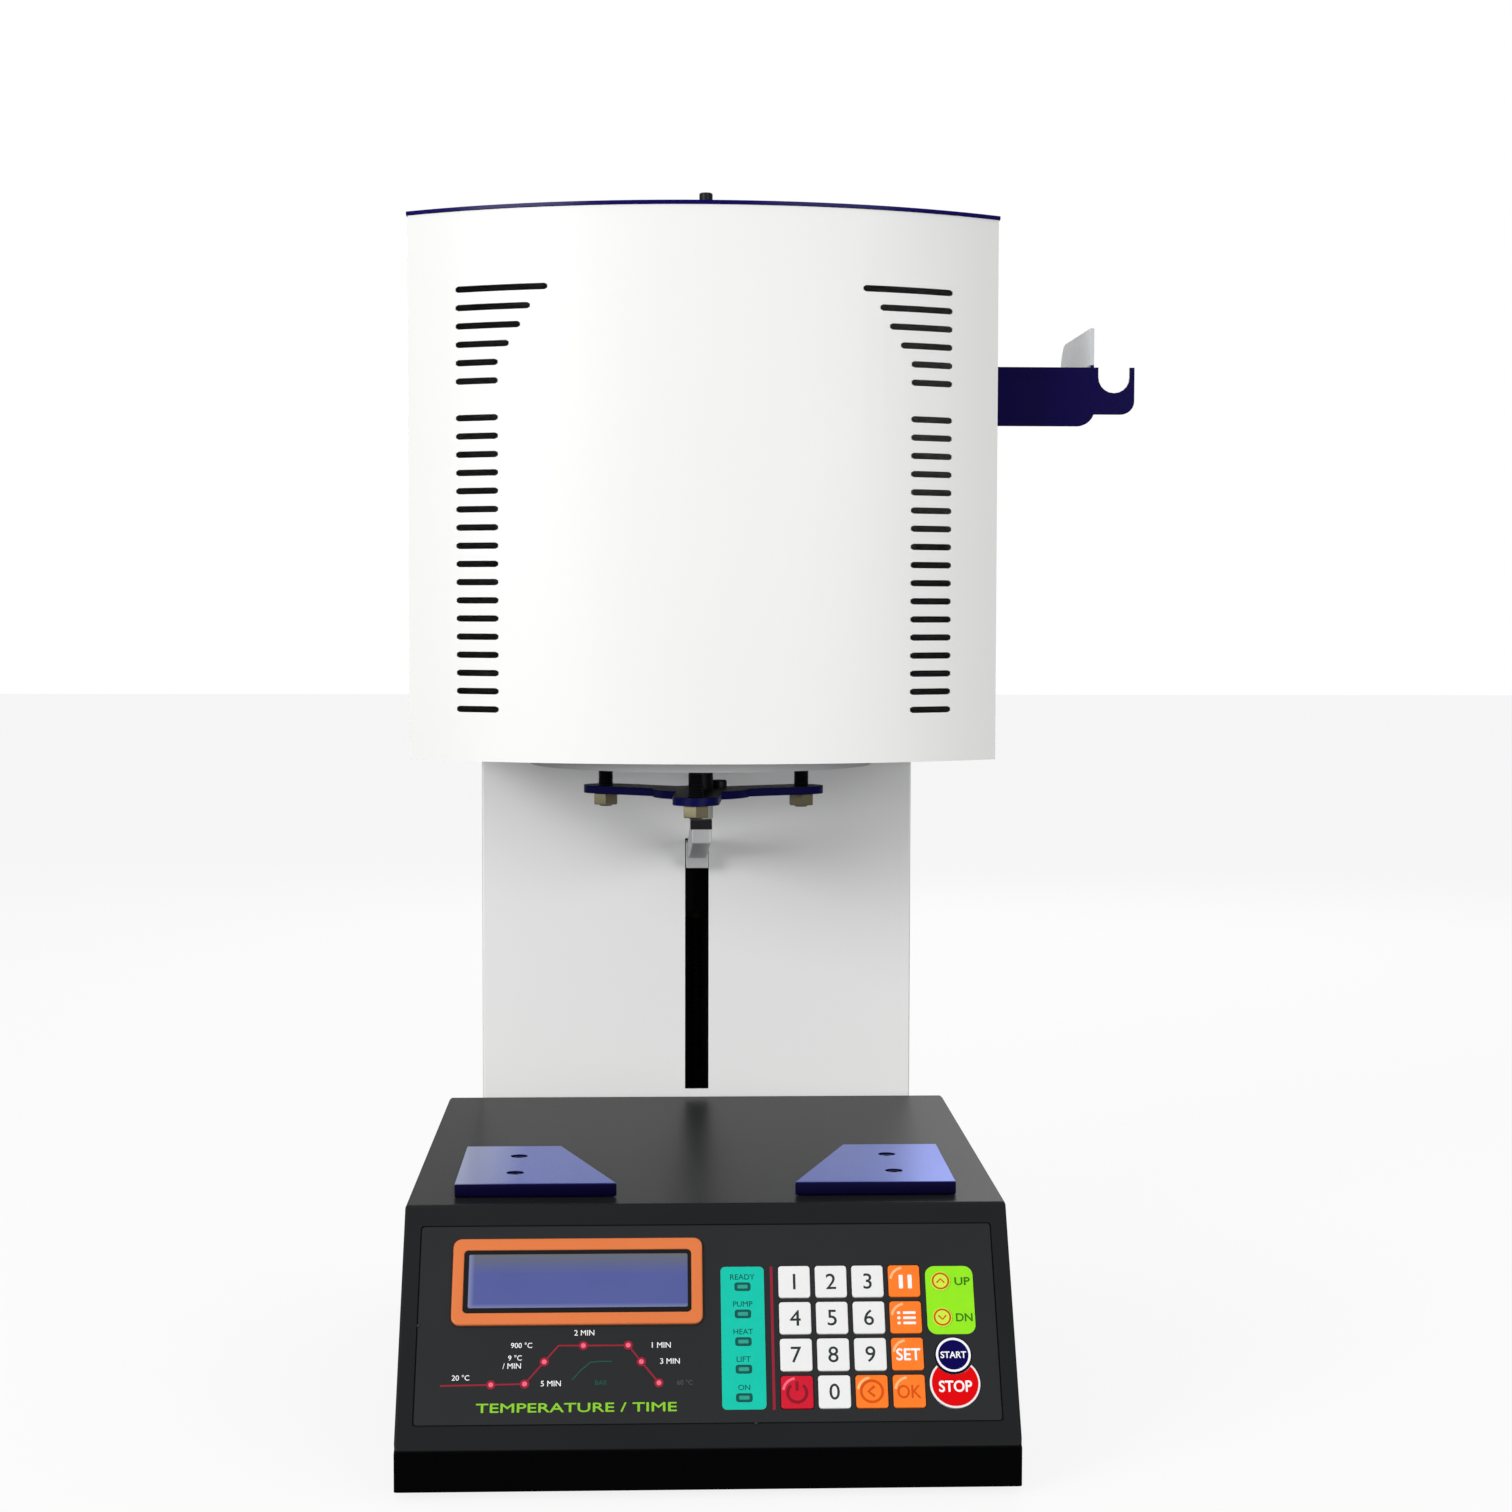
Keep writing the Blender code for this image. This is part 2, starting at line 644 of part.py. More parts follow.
def make_console_cover():
    """One folded cover: skirt, slope, flat top, sides and rear, open below."""
    low, high = FOOT_HEIGHT, BASE_TOP
    profile = [
        (0, low),
        (BASE_DEPTH, low),
        (BASE_DEPTH, high),
        (SLOPE_DEPTH, high),
        (0, low + SKIRT_HEIGHT),
    ]
    shape = outline_mesh(profile, BASE_WIDTH, UPRIGHT_YZ)
    folds = rounded_mesh(
        shape, CONSOLE_FOLD, lambda edge: max(vert.co.z for vert in edge.verts) > low + OVERRUN
    )
    cover = add_part("console_cover", folds, CONSOLE_BLACK, 0.35)
    wall = CONSOLE_WALL
    inside = [
        (wall, low - OVERRUN),
        (BASE_DEPTH - wall, low - OVERRUN),
        (BASE_DEPTH - wall, high - wall),
        (SLOPE_DEPTH + wall * tan(SLOPE_ANGLE / 2), high - wall),
        (wall, low + SKIRT_HEIGHT - wall * tan(pi / 4 - SLOPE_ANGLE / 2)),
    ]
    cut(cover, outline_mesh(inside, BASE_WIDTH - 2 * wall, UPRIGHT_YZ))
    gate = PAN_NECK_WIDTH / 2 + GAP
    cut(
        cover,
        box_mesh(
            (-gate, gate),
            (BASE_DEPTH - CONSOLE_WALL - OVERRUN, BASE_DEPTH + OVERRUN),
            (low - OVERRUN, low + WIRING_GATE_HEIGHT),
        ),
    )
    recess = PANEL_SHEET + GAP - PANEL_PROUD
    middle = (PANEL_LOW + PANEL_HIGH) / 2
    pocket = rounded_rectangle(
        PANEL_WIDTH + 2 * PANEL_GROOVE,
        PANEL_HIGH - PANEL_LOW + 2 * PANEL_GROOVE,
        PANEL_CORNER,
        (0, middle),
    )
    depth = recess + OVERRUN
    cut(cover, outline_mesh(pocket, depth, Matrix.Translation((0, 0, depth / 2 - recess))), SLOPE)
    windows = merged_mesh([display_window_cut(), keypad_window_cut()])
    cut(cover, windows, SLOPE)


def display_window_cut():
    depth = 2 * (CONSOLE_WALL + OVERRUN)
    size = (BEZEL_WIDTH - 2 * BEZEL_BAND_X, BEZEL_HEIGHT - 2 * BEZEL_BAND_S)
    return outline_mesh(rectangle(*size, (BEZEL_X, BEZEL_S)), depth)


def keypad_limits():
    """Edges of the window behind the keys: left, right, low, high."""
    left = KEY_X - KEY_WIDTH / 2 - KEY_SIDE_GAP
    right = STOP_X + STOP_RADIUS + KEY_SIDE_GAP
    low = STOP_S - STOP_RADIUS - KEY_SIDE_GAP
    high = KEY_S + KEY_HEIGHT / 2 + KEY_SIDE_GAP
    return left, right, low, high


def keypad_window_cut():
    left, right, low, high = keypad_limits()
    depth = 2 * (CONSOLE_WALL + OVERRUN)
    size = (right - left, high - low)
    return outline_mesh(rectangle(*size, ((left + right) / 2, (low + high) / 2)), depth)


# Control panel, display and keys


def key_outlines(gap):
    """Every key's name with its centre on the slope and its outline grown by the gap."""
    outlines = {}
    for row, names in enumerate(KEY_NAMES):
        for column, name in enumerate(names):
            centre = (KEY_X + column * KEY_PITCH_X, KEY_S - row * KEY_PITCH_S)
            shape = rounded_rectangle(
                KEY_WIDTH + 2 * gap, KEY_HEIGHT + 2 * gap, KEY_CORNER + gap, steps=KEY_CORNER_STEPS
            )
            outlines[name] = (centre, shape)
    for name, s in (("key_up", UP_S), ("key_down", DOWN_S)):
        shape = arc_points((0, 0), ARROW_RADIUS + gap, 0, 2 * pi, SMALL_STEPS)[:-1]
        outlines[name] = ((ARROW_X, s), shape)
    start = arc_points((0, 0), START_RADIUS + gap, 0, 2 * pi, ROUND_STEPS)[:-1]
    outlines["key_start"] = ((START_X, START_S), start)
    outlines["key_stop"] = ((STOP_X, STOP_S), stop_outline(gap))
    return outlines


def stop_outline(gap):
    """The stop key: a disc with the start key's round edge, and a rib of sheet, kept clear."""
    outer = STOP_RADIUS + gap
    bite = START_RADIUS + 2 * KEY_SIDE_GAP + GAP - gap
    offset = Vector((START_X - STOP_X, START_S - STOP_S))
    distance = offset.length
    facing = atan2(offset.y, offset.x)
    along = (distance ** 2 + outer ** 2 - bite ** 2) / (2 * distance)
    half_angle = atan2(sqrt(outer ** 2 - along ** 2), along)
    points = arc_points((0, 0), outer, facing + half_angle, facing + 2 * pi - half_angle, ROUND_STEPS)
    inner_half = atan2(sqrt(outer ** 2 - along ** 2), distance - along)
    back = facing + pi
    inner = arc_points(offset, bite, back + inner_half, back - inner_half, SMALL_STEPS // 2)
    return points + inner[1:-1]


def make_control_panel():
    middle = (PANEL_LOW + PANEL_HIGH) / 2
    top = PANEL_PROUD
    outline = rounded_rectangle(PANEL_WIDTH, PANEL_HIGH - PANEL_LOW, PANEL_CORNER, (0, middle))
    mesh = outline_mesh(outline, PANEL_SHEET, Matrix.Translation((0, 0, top - PANEL_SHEET / 2)))
    panel = add_part("control_panel", mesh, CONSOLE_BLACK, 0.3, parent=SLOPE)
    depth = 2 * (PANEL_SHEET + OVERRUN)
    holes = [display_window_cut()]
    for centre, outline in key_outlines(KEY_SIDE_GAP).values():
        holes.append(outline_mesh(outline, depth, Matrix.Translation((*centre, 0))))
    cut(panel, merged_mesh(holes))


def make_display():
    low = PANEL_PROUD + GAP
    place = Matrix.Translation((BEZEL_X, BEZEL_S, low + BEZEL_THICKNESS / 2))
    frame = rounded_rectangle(BEZEL_WIDTH, BEZEL_HEIGHT, BEZEL_CORNER)
    sheet = outline_mesh(frame, BEZEL_THICKNESS, place)
    bezel = add_part("display_bezel", sheet, BEZEL_ORANGE, 0.4, parent=SLOPE)
    window = (BEZEL_WIDTH - 2 * BEZEL_BAND_X, BEZEL_HEIGHT - 2 * BEZEL_BAND_S)
    opening = outline_mesh(rectangle(*window), BEZEL_THICKNESS + 2 * OVERRUN, place)
    cut(bezel, opening)

    wall_back = -CONSOLE_WALL - GAP
    back_size = (window[0] + 2 * MODULE_MARGIN, window[1] + 2 * MODULE_MARGIN)
    glass_size = (window[0] - 2 * GAP, window[1] - 2 * GAP)
    glass_top = low + BEZEL_THICKNESS - GLASS_RECESS
    body_place = Matrix.Translation((BEZEL_X, BEZEL_S, wall_back - MODULE_DEPTH / 2))
    module = add_part(
        "display_module",
        outline_mesh(rectangle(*back_size), MODULE_DEPTH, body_place),
        SCREEN_BLUE, 0.2, parent=SLOPE,
    )
    glass_low = wall_back - MODULE_DEPTH / 2
    glass_place = Matrix.Translation((BEZEL_X, BEZEL_S, (glass_top + glass_low) / 2))
    join(module, outline_mesh(rectangle(*glass_size), glass_top - glass_low, glass_place))


def make_keys():
    colours = {"key_power": KEY_RED, "key_stop": KEY_RED, "key_start": NAVY}
    for name in ("key_idle", "key_program", "key_set", "key_back", "key_ok"):
        colours[name] = KEY_ORANGE
    for name in ("key_up", "key_down"):
        colours[name] = KEY_LIME
    top = PANEL_PROUD + KEY_PROUD
    for name, (centre, outline) in key_outlines(0).items():
        mesh = outline_mesh(outline, KEY_THICKNESS)
        location = (*centre, top - KEY_THICKNESS / 2)
        add_part(name, mesh, colours.get(name, KEY_WHITE), 0.45, parent=SLOPE, location=location)


def make_keypad_board():
    left, right, low, high = keypad_limits()
    size = (right - left + 2 * BOARD_MARGIN, high - low + 2 * BOARD_MARGIN)
    top = -CONSOLE_WALL - GAP
    place = Matrix.Translation(((left + right) / 2, (low + high) / 2, top - BOARD_THICKNESS / 2))
    board = outline_mesh(rectangle(*size), BOARD_THICKNESS, place)
    add_part("keypad_board", board, BOARD_GREEN, 0.5, parent=SLOPE)


# Cooling plates


def make_cooling_plates():
    low = BASE_TOP + GAP
    high = low + PLATE_THICKNESS
    for side, sign in (("left", -1), ("right", 1)):
        outline = [
            (sign * PLATE_INNER_FRONT_X, PLATE_FRONT_Y),
            (sign * PLATE_OUTER_X, PLATE_FRONT_Y),
            (sign * PLATE_OUTER_X, PLATE_BACK_Y),
            (sign * PLATE_INNER_BACK_X, PLATE_BACK_Y),
        ]
        place = Matrix.Translation((0, 0, (low + high) / 2))
        sheet = outline_mesh(outline, PLATE_THICKNESS, place)
        plate = add_part("cooling_plate_" + side, sheet, NAVY, 0.25, 0.3)
        round_edges(plate, PLATE_EDGE)
        sink = high - PLATE_SCREW_SINK
        sinks = [
            rod_mesh(PLATE_SCREW_RADIUS, sink, high + OVERRUN, sign * PLATE_SCREW_X, y, SMALL_STEPS)
            for y in PLATE_SCREW_YS
        ]
        cut(plate, merged_mesh(sinks))


# Column


def make_column_cover():
    """Front and two sides of folded sheet, open to the rear, with the slot of the lift."""
    half = COLUMN_WIDTH / 2
    shape = box_mesh((-half, half), (COLUMN_Y, REAR_Y), (FOOT_HEIGHT, HOUSING_TOP))
    folds = rounded_mesh(
        shape,
        COLUMN_FOLD,
        lambda edge: all(vert.co.y < COLUMN_Y + OVERRUN for vert in edge.verts)
        and edge.verts[0].co.x * edge.verts[1].co.x > 0,
    )
    cover = add_part("column_cover", folds, WHITE_COAT, 0.45)
    inner = box_mesh(
        (COLUMN_SHEET - half, half - COLUMN_SHEET),
        (COLUMN_Y + COLUMN_SHEET, REAR_Y + OVERRUN),
        (FOOT_HEIGHT - OVERRUN, HOUSING_TOP + OVERRUN),
    )
    cut(cover, inner)
    inside = half - COLUMN_SHEET
    front = (COLUMN_Y - OVERRUN, COLUMN_Y + COLUMN_FOLD + COLUMN_SHEET)
    gate = box_mesh(
        (-inside, inside), front, (FOOT_HEIGHT - OVERRUN, FOOT_HEIGHT + WIRING_GATE_HEIGHT)
    )
    slot_half = SLOT_WIDTH / 2
    slot = box_mesh((-slot_half, slot_half), front, (BASE_TOP + SLOT_LOW, SLOT_HIGH))
    cut(cover, merged_mesh([gate, slot]))


def make_rear_panel():
    half = COLUMN_WIDTH / 2 - COLUMN_SHEET - GAP
    low, high = FOOT_HEIGHT, HOUSING_TOP
    sheet = box_mesh((-half, half), (REAR_Y - REAR_SHEET, REAR_Y), (low, high))
    panel = add_part("rear_panel", sheet, WHITE_COAT, 0.45)
    through = (REAR_Y - REAR_SHEET - OVERRUN, REAR_Y + OVERRUN)
    holes = []
    for row in range(REAR_VENTS):
        top = REAR_VENT_TOP - row * REAR_VENT_PITCH
        length = REAR_VENT_LENGTH / 2
        holes.append(box_mesh((-length, length), through, (top - REAR_VENT_HEIGHT, top)))
    holes.append(
        box_mesh(
            (INLET_X - INLET_WIDTH / 2 - GAP, INLET_X + INLET_WIDTH / 2 + GAP),
            through,
            (FITTING_HEIGHT - INLET_HEIGHT / 2 - GAP, FITTING_HEIGHT + INLET_HEIGHT / 2 + GAP),
        )
    )
    swing = hypot(SWITCH_HALF_HEIGHT, SWITCH_FRONT_END) + SWITCH_CLEARANCE
    holes.append(
        box_mesh(
            (SWITCH_X - SWITCH_WIDTH / 2 - GAP, SWITCH_X + SWITCH_WIDTH / 2 + GAP),
            through,
            (FITTING_HEIGHT - swing, FITTING_HEIGHT + swing),
        )
    )
    turn = Matrix.Translation((NOZZLE_X, REAR_Y, FITTING_HEIGHT)) @ UPRIGHT_XZ
    bore = rod_mesh(NOZZLE_RADIUS + GAP, -REAR_SHEET - OVERRUN, REAR_SHEET + OVERRUN, steps=SMALL_STEPS)
    bore.transform(turn)
    holes.append(bore)
    cut(panel, merged_mesh(holes))


# Muffle housing and its cover


def front_arc(inset):
    """Front of the housing in plan, from the left corner to the right one."""
    half = HOUSING_WIDTH / 2
    radius = (half ** 2 + HOUSING_SAGITTA ** 2) / (2 * HOUSING_SAGITTA)
    centre = (0, HOUSING_CORNER_Y - HOUSING_SAGITTA + radius)
    swing = asin((half - inset) / (radius - inset))
    return arc_points(centre, radius - inset, -pi / 2 - swing, -pi / 2 + swing, HOUSING_ARC_STEPS)


def make_muffle_housing():
    """Curved front, flat sides and narrow returns against the column, open above and below."""
    half = HOUSING_WIDTH / 2
    inner = half - HOUSING_RETURN
    path = [(-inner, BASE_DEPTH), (-half, BASE_DEPTH)]
    path += front_arc(0)
    path += [(half, BASE_DEPTH), (inner, BASE_DEPTH)]
    work = bmesh.new()
    lower = [work.verts.new((x, y, HOUSING_BOTTOM)) for x, y in path]
    edges = [work.edges.new(pair) for pair in zip(lower, lower[1:])]
    grown = bmesh.ops.extrude_edge_only(work, edges=edges)
    upper = [item for item in grown["geom"] if isinstance(item, bmesh.types.BMVert)]
    bmesh.ops.translate(work, verts=upper, vec=(0, 0, HOUSING_TOP - HOUSING_BOTTOM))
    bmesh.ops.recalc_face_normals(work, faces=work.faces)
    front = min(work.faces, key=lambda face: face.calc_center_median().y)
    if front.normal.y > 0:
        bmesh.ops.reverse_faces(work, faces=work.faces)
    mesh = bpy.data.meshes.new("muffle_housing")
    work.to_mesh(mesh)
    work.free()
    mesh.shade_smooth()
    mesh.set_sharp_from_angle(angle=SHARP_ANGLE)
    housing = add_part("muffle_housing", mesh, WHITE_COAT, 0.45)
    thicken(housing, HOUSING_SHEET)
    cut(housing, merged_mesh(vent_cutters()))


def vent_cutters():
    """Slots with round ends, mirrored left and right, cut straight back."""
    rows = [
        (UPPER_VENT_TOP - row * VENT_PITCH, length) for row, length in enumerate(UPPER_VENT_LENGTHS)
    ]
    rows += [(LOWER_VENT_TOP - row * LOWER_VENT_PITCH, LOWER_VENT_LENGTH) for row in range(LOWER_VENTS)]
    radius = VENT_HEIGHT / 2
    depth = HOUSING_CORNER_Y + HOUSING_SHEET + OVERRUN
    meshes = []
    for z, length in rows:
        for sign in (-1, 1):
            middle = sign * (VENT_OUTER_X - length / 2)
            reach = length / 2 - radius
            outline = arc_points((middle + reach, z), radius, -pi / 2, pi / 2, VENT_STEPS)
            outline += arc_points((middle - reach, z), radius, pi / 2, 3 * pi / 2, VENT_STEPS)
            place = Matrix.Translation((0, depth / 2, 0)) @ UPRIGHT_XZ
            meshes.append(outline_mesh(outline, depth, place))
    return meshes


def make_top_cover():
    """One lid over the housing and the column, a little larger all round."""
    wide = HOUSING_WIDTH / 2 + COVER_LIP
    narrow = COLUMN_WIDTH / 2 + COVER_LIP
    shoulder = BASE_DEPTH + COVER_LIP
    rear = REAR_Y + COVER_LIP
    outline = front_arc(-COVER_LIP)
    outline += [(wide, shoulder), (narrow, shoulder), (narrow, rear)]
    outline += [(-narrow, rear), (-narrow, shoulder), (-wide, shoulder)]
    low = HOUSING_TOP + GAP
    place = Matrix.Translation((0, 0, low + COVER_SHEET / 2))
    add_part("top_cover", outline_mesh(outline, COVER_SHEET, place), NAVY, 0.3, 0.3)
    y = HOUSING_CORNER_Y - HOUSING_SAGITTA + COVER_SCREW_INSET
    low = COVER_TOP + GAP
    screw = rod_mesh(COVER_SCREW_RADIUS, low, low + COVER_SCREW_HEIGHT, steps=SMALL_STEPS)
    add_part("top_cover_screw", screw, DARK_STEEL, 0.5, 0.5, location=(0, y, 0))


# Firing chamber


def make_muffle_floor():
    inset = HOUSING_SHEET + GAP
    half = HOUSING_WIDTH / 2 - inset
    rear = BASE_DEPTH - inset
    outline = front_arc(inset) + [(half, rear), (-half, rear)]
    place = Matrix.Translation((0, 0, FLOOR_UNDERSIDE + FLOOR_THICKNESS / 2))
    sheet = outline_mesh(outline, FLOOR_THICKNESS, place)
    floor = add_part("muffle_floor", sheet, ALUMINIUM, 0.35, 0.9)
    hole = rod_mesh(FLOOR_HOLE, FLOOR_UNDERSIDE - OVERRUN, FLOOR_TOP + OVERRUN, 0, CHAMBER_Y)
    cut(floor, hole)


def make_chamber():
    centre = (0, CHAMBER_Y, 0)
    probe_hole = PROBE_RADIUS + GAP
    shoulder = POT_BOTTOM + POT_WALL
    ceiling = POT_TOP - POT_WALL
    bore = POT_RADIUS - POT_WALL
    pot = [
        (probe_hole, POT_TOP),
        (POT_RADIUS, POT_TOP),
        (POT_RADIUS, shoulder),
        (POT_FLANGE, shoulder),
        (POT_FLANGE, POT_BOTTOM),
        (bore, POT_BOTTOM),
        (bore, ceiling),
        (probe_hole, ceiling),
    ]
    turned("vacuum_pot", pot, STEEL, 0.3, 1.0, location=centre)
    liner = [
        (probe_hole, LINER_TOP),
        (LINER_RADIUS, LINER_TOP),
        (LINER_RADIUS, POT_BOTTOM),
        (LINER_BORE, POT_BOTTOM),
        (LINER_BORE, LINER_CEILING),
        (probe_hole, LINER_CEILING),
    ]
    turned("insulation_liner", liner, FIBRE, 0.95, location=centre)
    muffle_top = LINER_CEILING - GAP
    muffle_low = muffle_top - MUFFLE_HEIGHT
    bore = MUFFLE_RADIUS - MUFFLE_WALL
    muffle = [
        (bore, muffle_top),
        (MUFFLE_RADIUS, muffle_top),
        (MUFFLE_RADIUS, muffle_low),
        (bore, muffle_low),
    ]
    turned("heating_muffle", muffle, CERAMIC, 0.6, location=centre)
    head_low = POT_TOP + GAP
    head_top = head_low + PROBE_HEAD_HEIGHT
    probe = [
        (0, head_top),
        (PROBE_HEAD_RADIUS, head_top),
        (PROBE_HEAD_RADIUS, head_low),
        (PROBE_RADIUS, head_low),
        (PROBE_RADIUS, LINER_CEILING - PROBE_REACH),
        (0, LINER_CEILING - PROBE_REACH),
    ]
    turned("thermocouple", probe, CERAMIC, 0.5, location=centre, closed=False)


# Lift


def on_lift(x, y, z):
    """A place in the furnace's own terms, seen from the lift's empty."""
    return Vector((x, y - SCREW_Y, z - ARM_TOP))


def tripod_outline():
    """Hub with three arms that end in half circles, seen from above."""
    mouth = asin(TRIPOD_TIP_RADIUS / TRIPOD_HUB_RADIUS)
    step = 2 * pi / TRIPOD_ARMS
    points = []
    for arm in range(TRIPOD_ARMS):
        heading = -pi / 2 + TRIPOD_TURN + arm * step
        tip = (TRIPOD_REACH * cos(heading), TRIPOD_REACH * sin(heading))
        tip_arc = (heading - pi / 2, heading + pi / 2)
        hub_arc = (heading + mouth, heading + step - mouth)
        points += arc_points(tip, TRIPOD_TIP_RADIUS, *tip_arc, TRIPOD_TIP_STEPS)
        points += arc_points((0, 0), TRIPOD_HUB_RADIUS, *hub_arc, TRIPOD_HUB_STEPS)
    return points


def stud_places():
    step = 2 * pi / TRIPOD_ARMS
    headings = [-pi / 2 + TRIPOD_TURN + arm * step for arm in range(TRIPOD_ARMS)]
    names = ("front", "right", "left")
    return {
        name: (TRIPOD_REACH * cos(heading), CHAMBER_Y + TRIPOD_REACH * sin(heading))
        for name, heading in zip(names, headings)
    }


def make_tripod():
    low = TRIPOD_TOP - TRIPOD_THICKNESS
    here = on_lift(0, CHAMBER_Y, 0)
    place = Matrix.Translation((0, 0, low + TRIPOD_THICKNESS / 2))
    sheet = outline_mesh(tripod_outline(), TRIPOD_THICKNESS, place)
    plate = add_part("tripod_plate", sheet, NAVY, 0.25, 0.3, parent=LIFT, location=here)
    join(plate, rod_mesh(BOSS_RADIUS, ARM_TOP + GAP, DISC_UNDERSIDE - GAP, steps=SMALL_STEPS))
    holes = [
        rod_mesh(STUD_RADIUS + GAP, low - OVERRUN, TRIPOD_TOP + OVERRUN, x, y - CHAMBER_Y, SMALL_STEPS)
        for x, y in stud_places().values()
    ]
    cut(plate, merged_mesh(holes))


def make_studs():
    """A stud hangs from the platform disc through its arm into a nut."""
    nut_top = TRIPOD_TOP - TRIPOD_THICKNESS - GAP
    nut_low = nut_top - NUT_HEIGHT
    corner_radius = NUT_FLATS / (2 * cos(pi / 6))
    for name, (x, y) in stud_places().items():
        nut = rod_mesh(corner_radius, nut_low, nut_top, steps=6)
        here = on_lift(x, y, 0)
        stud = add_part("platform_stud_" + name, nut, DARK_STEEL, 0.45, 0.7, parent=LIFT, location=here)
        join(stud, rod_mesh(STUD_RADIUS, nut_low - STUD_END, DISC_UNDERSIDE - GAP, steps=SMALL_STEPS))


def make_platform():
    here = on_lift(0, CHAMBER_Y, 0)
    disc = [
        (0, STEP_TOP),
        (DISC_STEP_RADIUS, STEP_TOP),
        (DISC_STEP_RADIUS, DISC_TOP),
        (DISC_RADIUS, DISC_TOP),
        (DISC_RADIUS, DISC_UNDERSIDE),
        (0, DISC_UNDERSIDE),
    ]
    turned("platform_disc", disc, ALUMINIUM, 0.3, 0.9, LIFT, here, closed=False)
    under_top = TABLE_TOP - TABLE_TOP_THICKNESS
    dish = TABLE_TOP - TABLE_RIM_HEIGHT
    table = [
        (0, dish),
        (TABLE_RADIUS - TABLE_RIM_WIDTH, dish),
        (TABLE_RADIUS - TABLE_RIM_WIDTH, TABLE_TOP),
        (TABLE_RADIUS, TABLE_TOP),
        (TABLE_RADIUS, under_top),
        (TABLE_STEM_RADIUS, under_top),
        (TABLE_STEM_RADIUS, TABLE_BOTTOM),
        (0, TABLE_BOTTOM),
    ]
    turned("firing_table", table, FIBRE, 0.9, 0.0, LIFT, here, closed=False)


def make_lift_arm():
    """Bar that rises from the carriage, out through the slot, to the boss of the tripod."""
    front = CHAMBER_Y - ARM_FRONT
    seat_end = CHAMBER_Y + BOSS_RADIUS
    heel = COLUMN_Y - ARM_HEEL_OUT
    front_low = ARM_TOP - ARM_FRONT_HEIGHT
    heel_high = front_low - ARM_SLOPE_RISE
    heel_low = heel_high - ARM_HEEL_STEP
    rear_top = ARM_TOP - ARM_TOP_FALL * (ARM_REAR_Y - seat_end) / (COLUMN_Y - seat_end)
    outline = [
        (ARM_REAR_Y, heel_low),
        (ARM_REAR_Y, rear_top),
        (seat_end, ARM_TOP),
        (front, ARM_TOP),
        (front, front_low),
        (heel, heel_high),
        (heel, heel_low),
    ]
    place = Matrix.Translation(on_lift(0, 0, 0)) @ UPRIGHT_YZ
    sheet = outline_mesh(outline, ARM_THICKNESS, place)
    arm = add_part("lift_arm", sheet, ALUMINIUM, 0.35, 0.9, parent=LIFT)
    round_edges(arm, ARM_NOSE)


def make_carriage():
    half = CARRIAGE_WIDTH / 2
    high = -CARRIAGE_DROP
    low = high - CARRIAGE_HEIGHT
    block = box_mesh((-half, half), (CARRIAGE_Y - SCREW_Y, SCREW_Y - CARRIAGE_Y), (low, high))
    carriage = add_part("lift_carriage", block, ALUMINIUM, 0.4, 0.9, parent=LIFT)
    through = (low - OVERRUN, high + OVERRUN)
    bores = [
        rod_mesh(ROD_RADIUS + GAP, *through, sign * ROD_SPREAD, 0, SMALL_STEPS) for sign in (-1, 1)
    ]
    bores.append(rod_mesh(NUT_BODY_RADIUS + GAP, *through, steps=SMALL_STEPS))
    cut(carriage, merged_mesh(bores))
    bore = LEAD_SCREW_RADIUS + LEAD_SCREW_CLEARANCE
    flange_top = low - GAP
    nut = [
        (bore, high),
        (NUT_BODY_RADIUS, high),
        (NUT_BODY_RADIUS, flange_top),
        (NUT_FLANGE_RADIUS, flange_top),
        (NUT_FLANGE_RADIUS, flange_top - NUT_FLANGE_HEIGHT),
        (bore, flange_top - NUT_FLANGE_HEIGHT),
    ]
    turned("lift_nut", nut, BRASS, 0.35, 1.0, LIFT)


def make_lift_frame():
    """Seat, back and roof in one piece, standing on the pan."""
    back_front = FRAME_BACK_Y - FRAME_SHEET
    outline = [
        (FRAME_FRONT_Y, FRAME_LOW),
        (back_front, FRAME_LOW),
        (back_front, PAN_TOP + GAP),
        (FRAME_BACK_Y, PAN_TOP + GAP),
        (FRAME_BACK_Y, FRAME_HIGH),
        (FRAME_FRONT_Y, FRAME_HIGH),
        (FRAME_FRONT_Y, SEAT_ROOF),
        (back_front, SEAT_ROOF),
        (back_front, SEAT_TOP),
        (FRAME_FRONT_Y, SEAT_TOP),
    ]
    frame = add_part("lift_frame", outline_mesh(outline, FRAME_WIDTH, UPRIGHT_YZ), STEEL, 0.4, 0.9)
    radius = LEAD_SCREW_RADIUS + LEAD_SCREW_CLEARANCE
    cut(frame, rod_mesh(radius, FRAME_LOW - OVERRUN, FRAME_HIGH + OVERRUN, 0, SCREW_Y, SMALL_STEPS))


def make_guides():
    for side, sign in (("left", -1), ("right", 1)):
        rod = rod_mesh(ROD_RADIUS, SEAT_TOP + GAP, SEAT_ROOF - GAP, steps=SMALL_STEPS)
        add_part("guide_rod_" + side, rod, STEEL, 0.15, 1.0, location=(sign * ROD_SPREAD, SCREW_Y, 0))


def make_lead_screw():
    coupler_low = SEAT_TOP + GAP
    coupler_top = coupler_low + COUPLER_HEIGHT
    low = FRAME_LOW
    profile = [
        (0, FRAME_HIGH),
        (LEAD_SCREW_RADIUS, FRAME_HIGH),
        (LEAD_SCREW_RADIUS, coupler_top),
        (COUPLER_RADIUS, coupler_top),
        (COUPLER_RADIUS, coupler_low),
        (LEAD_SCREW_RADIUS, coupler_low),
        (LEAD_SCREW_RADIUS, low),
        (0, low),
    ]
    turned("lead_screw", profile, STEEL, 0.25, 1.0, location=(0, SCREW_Y, 0), closed=False)


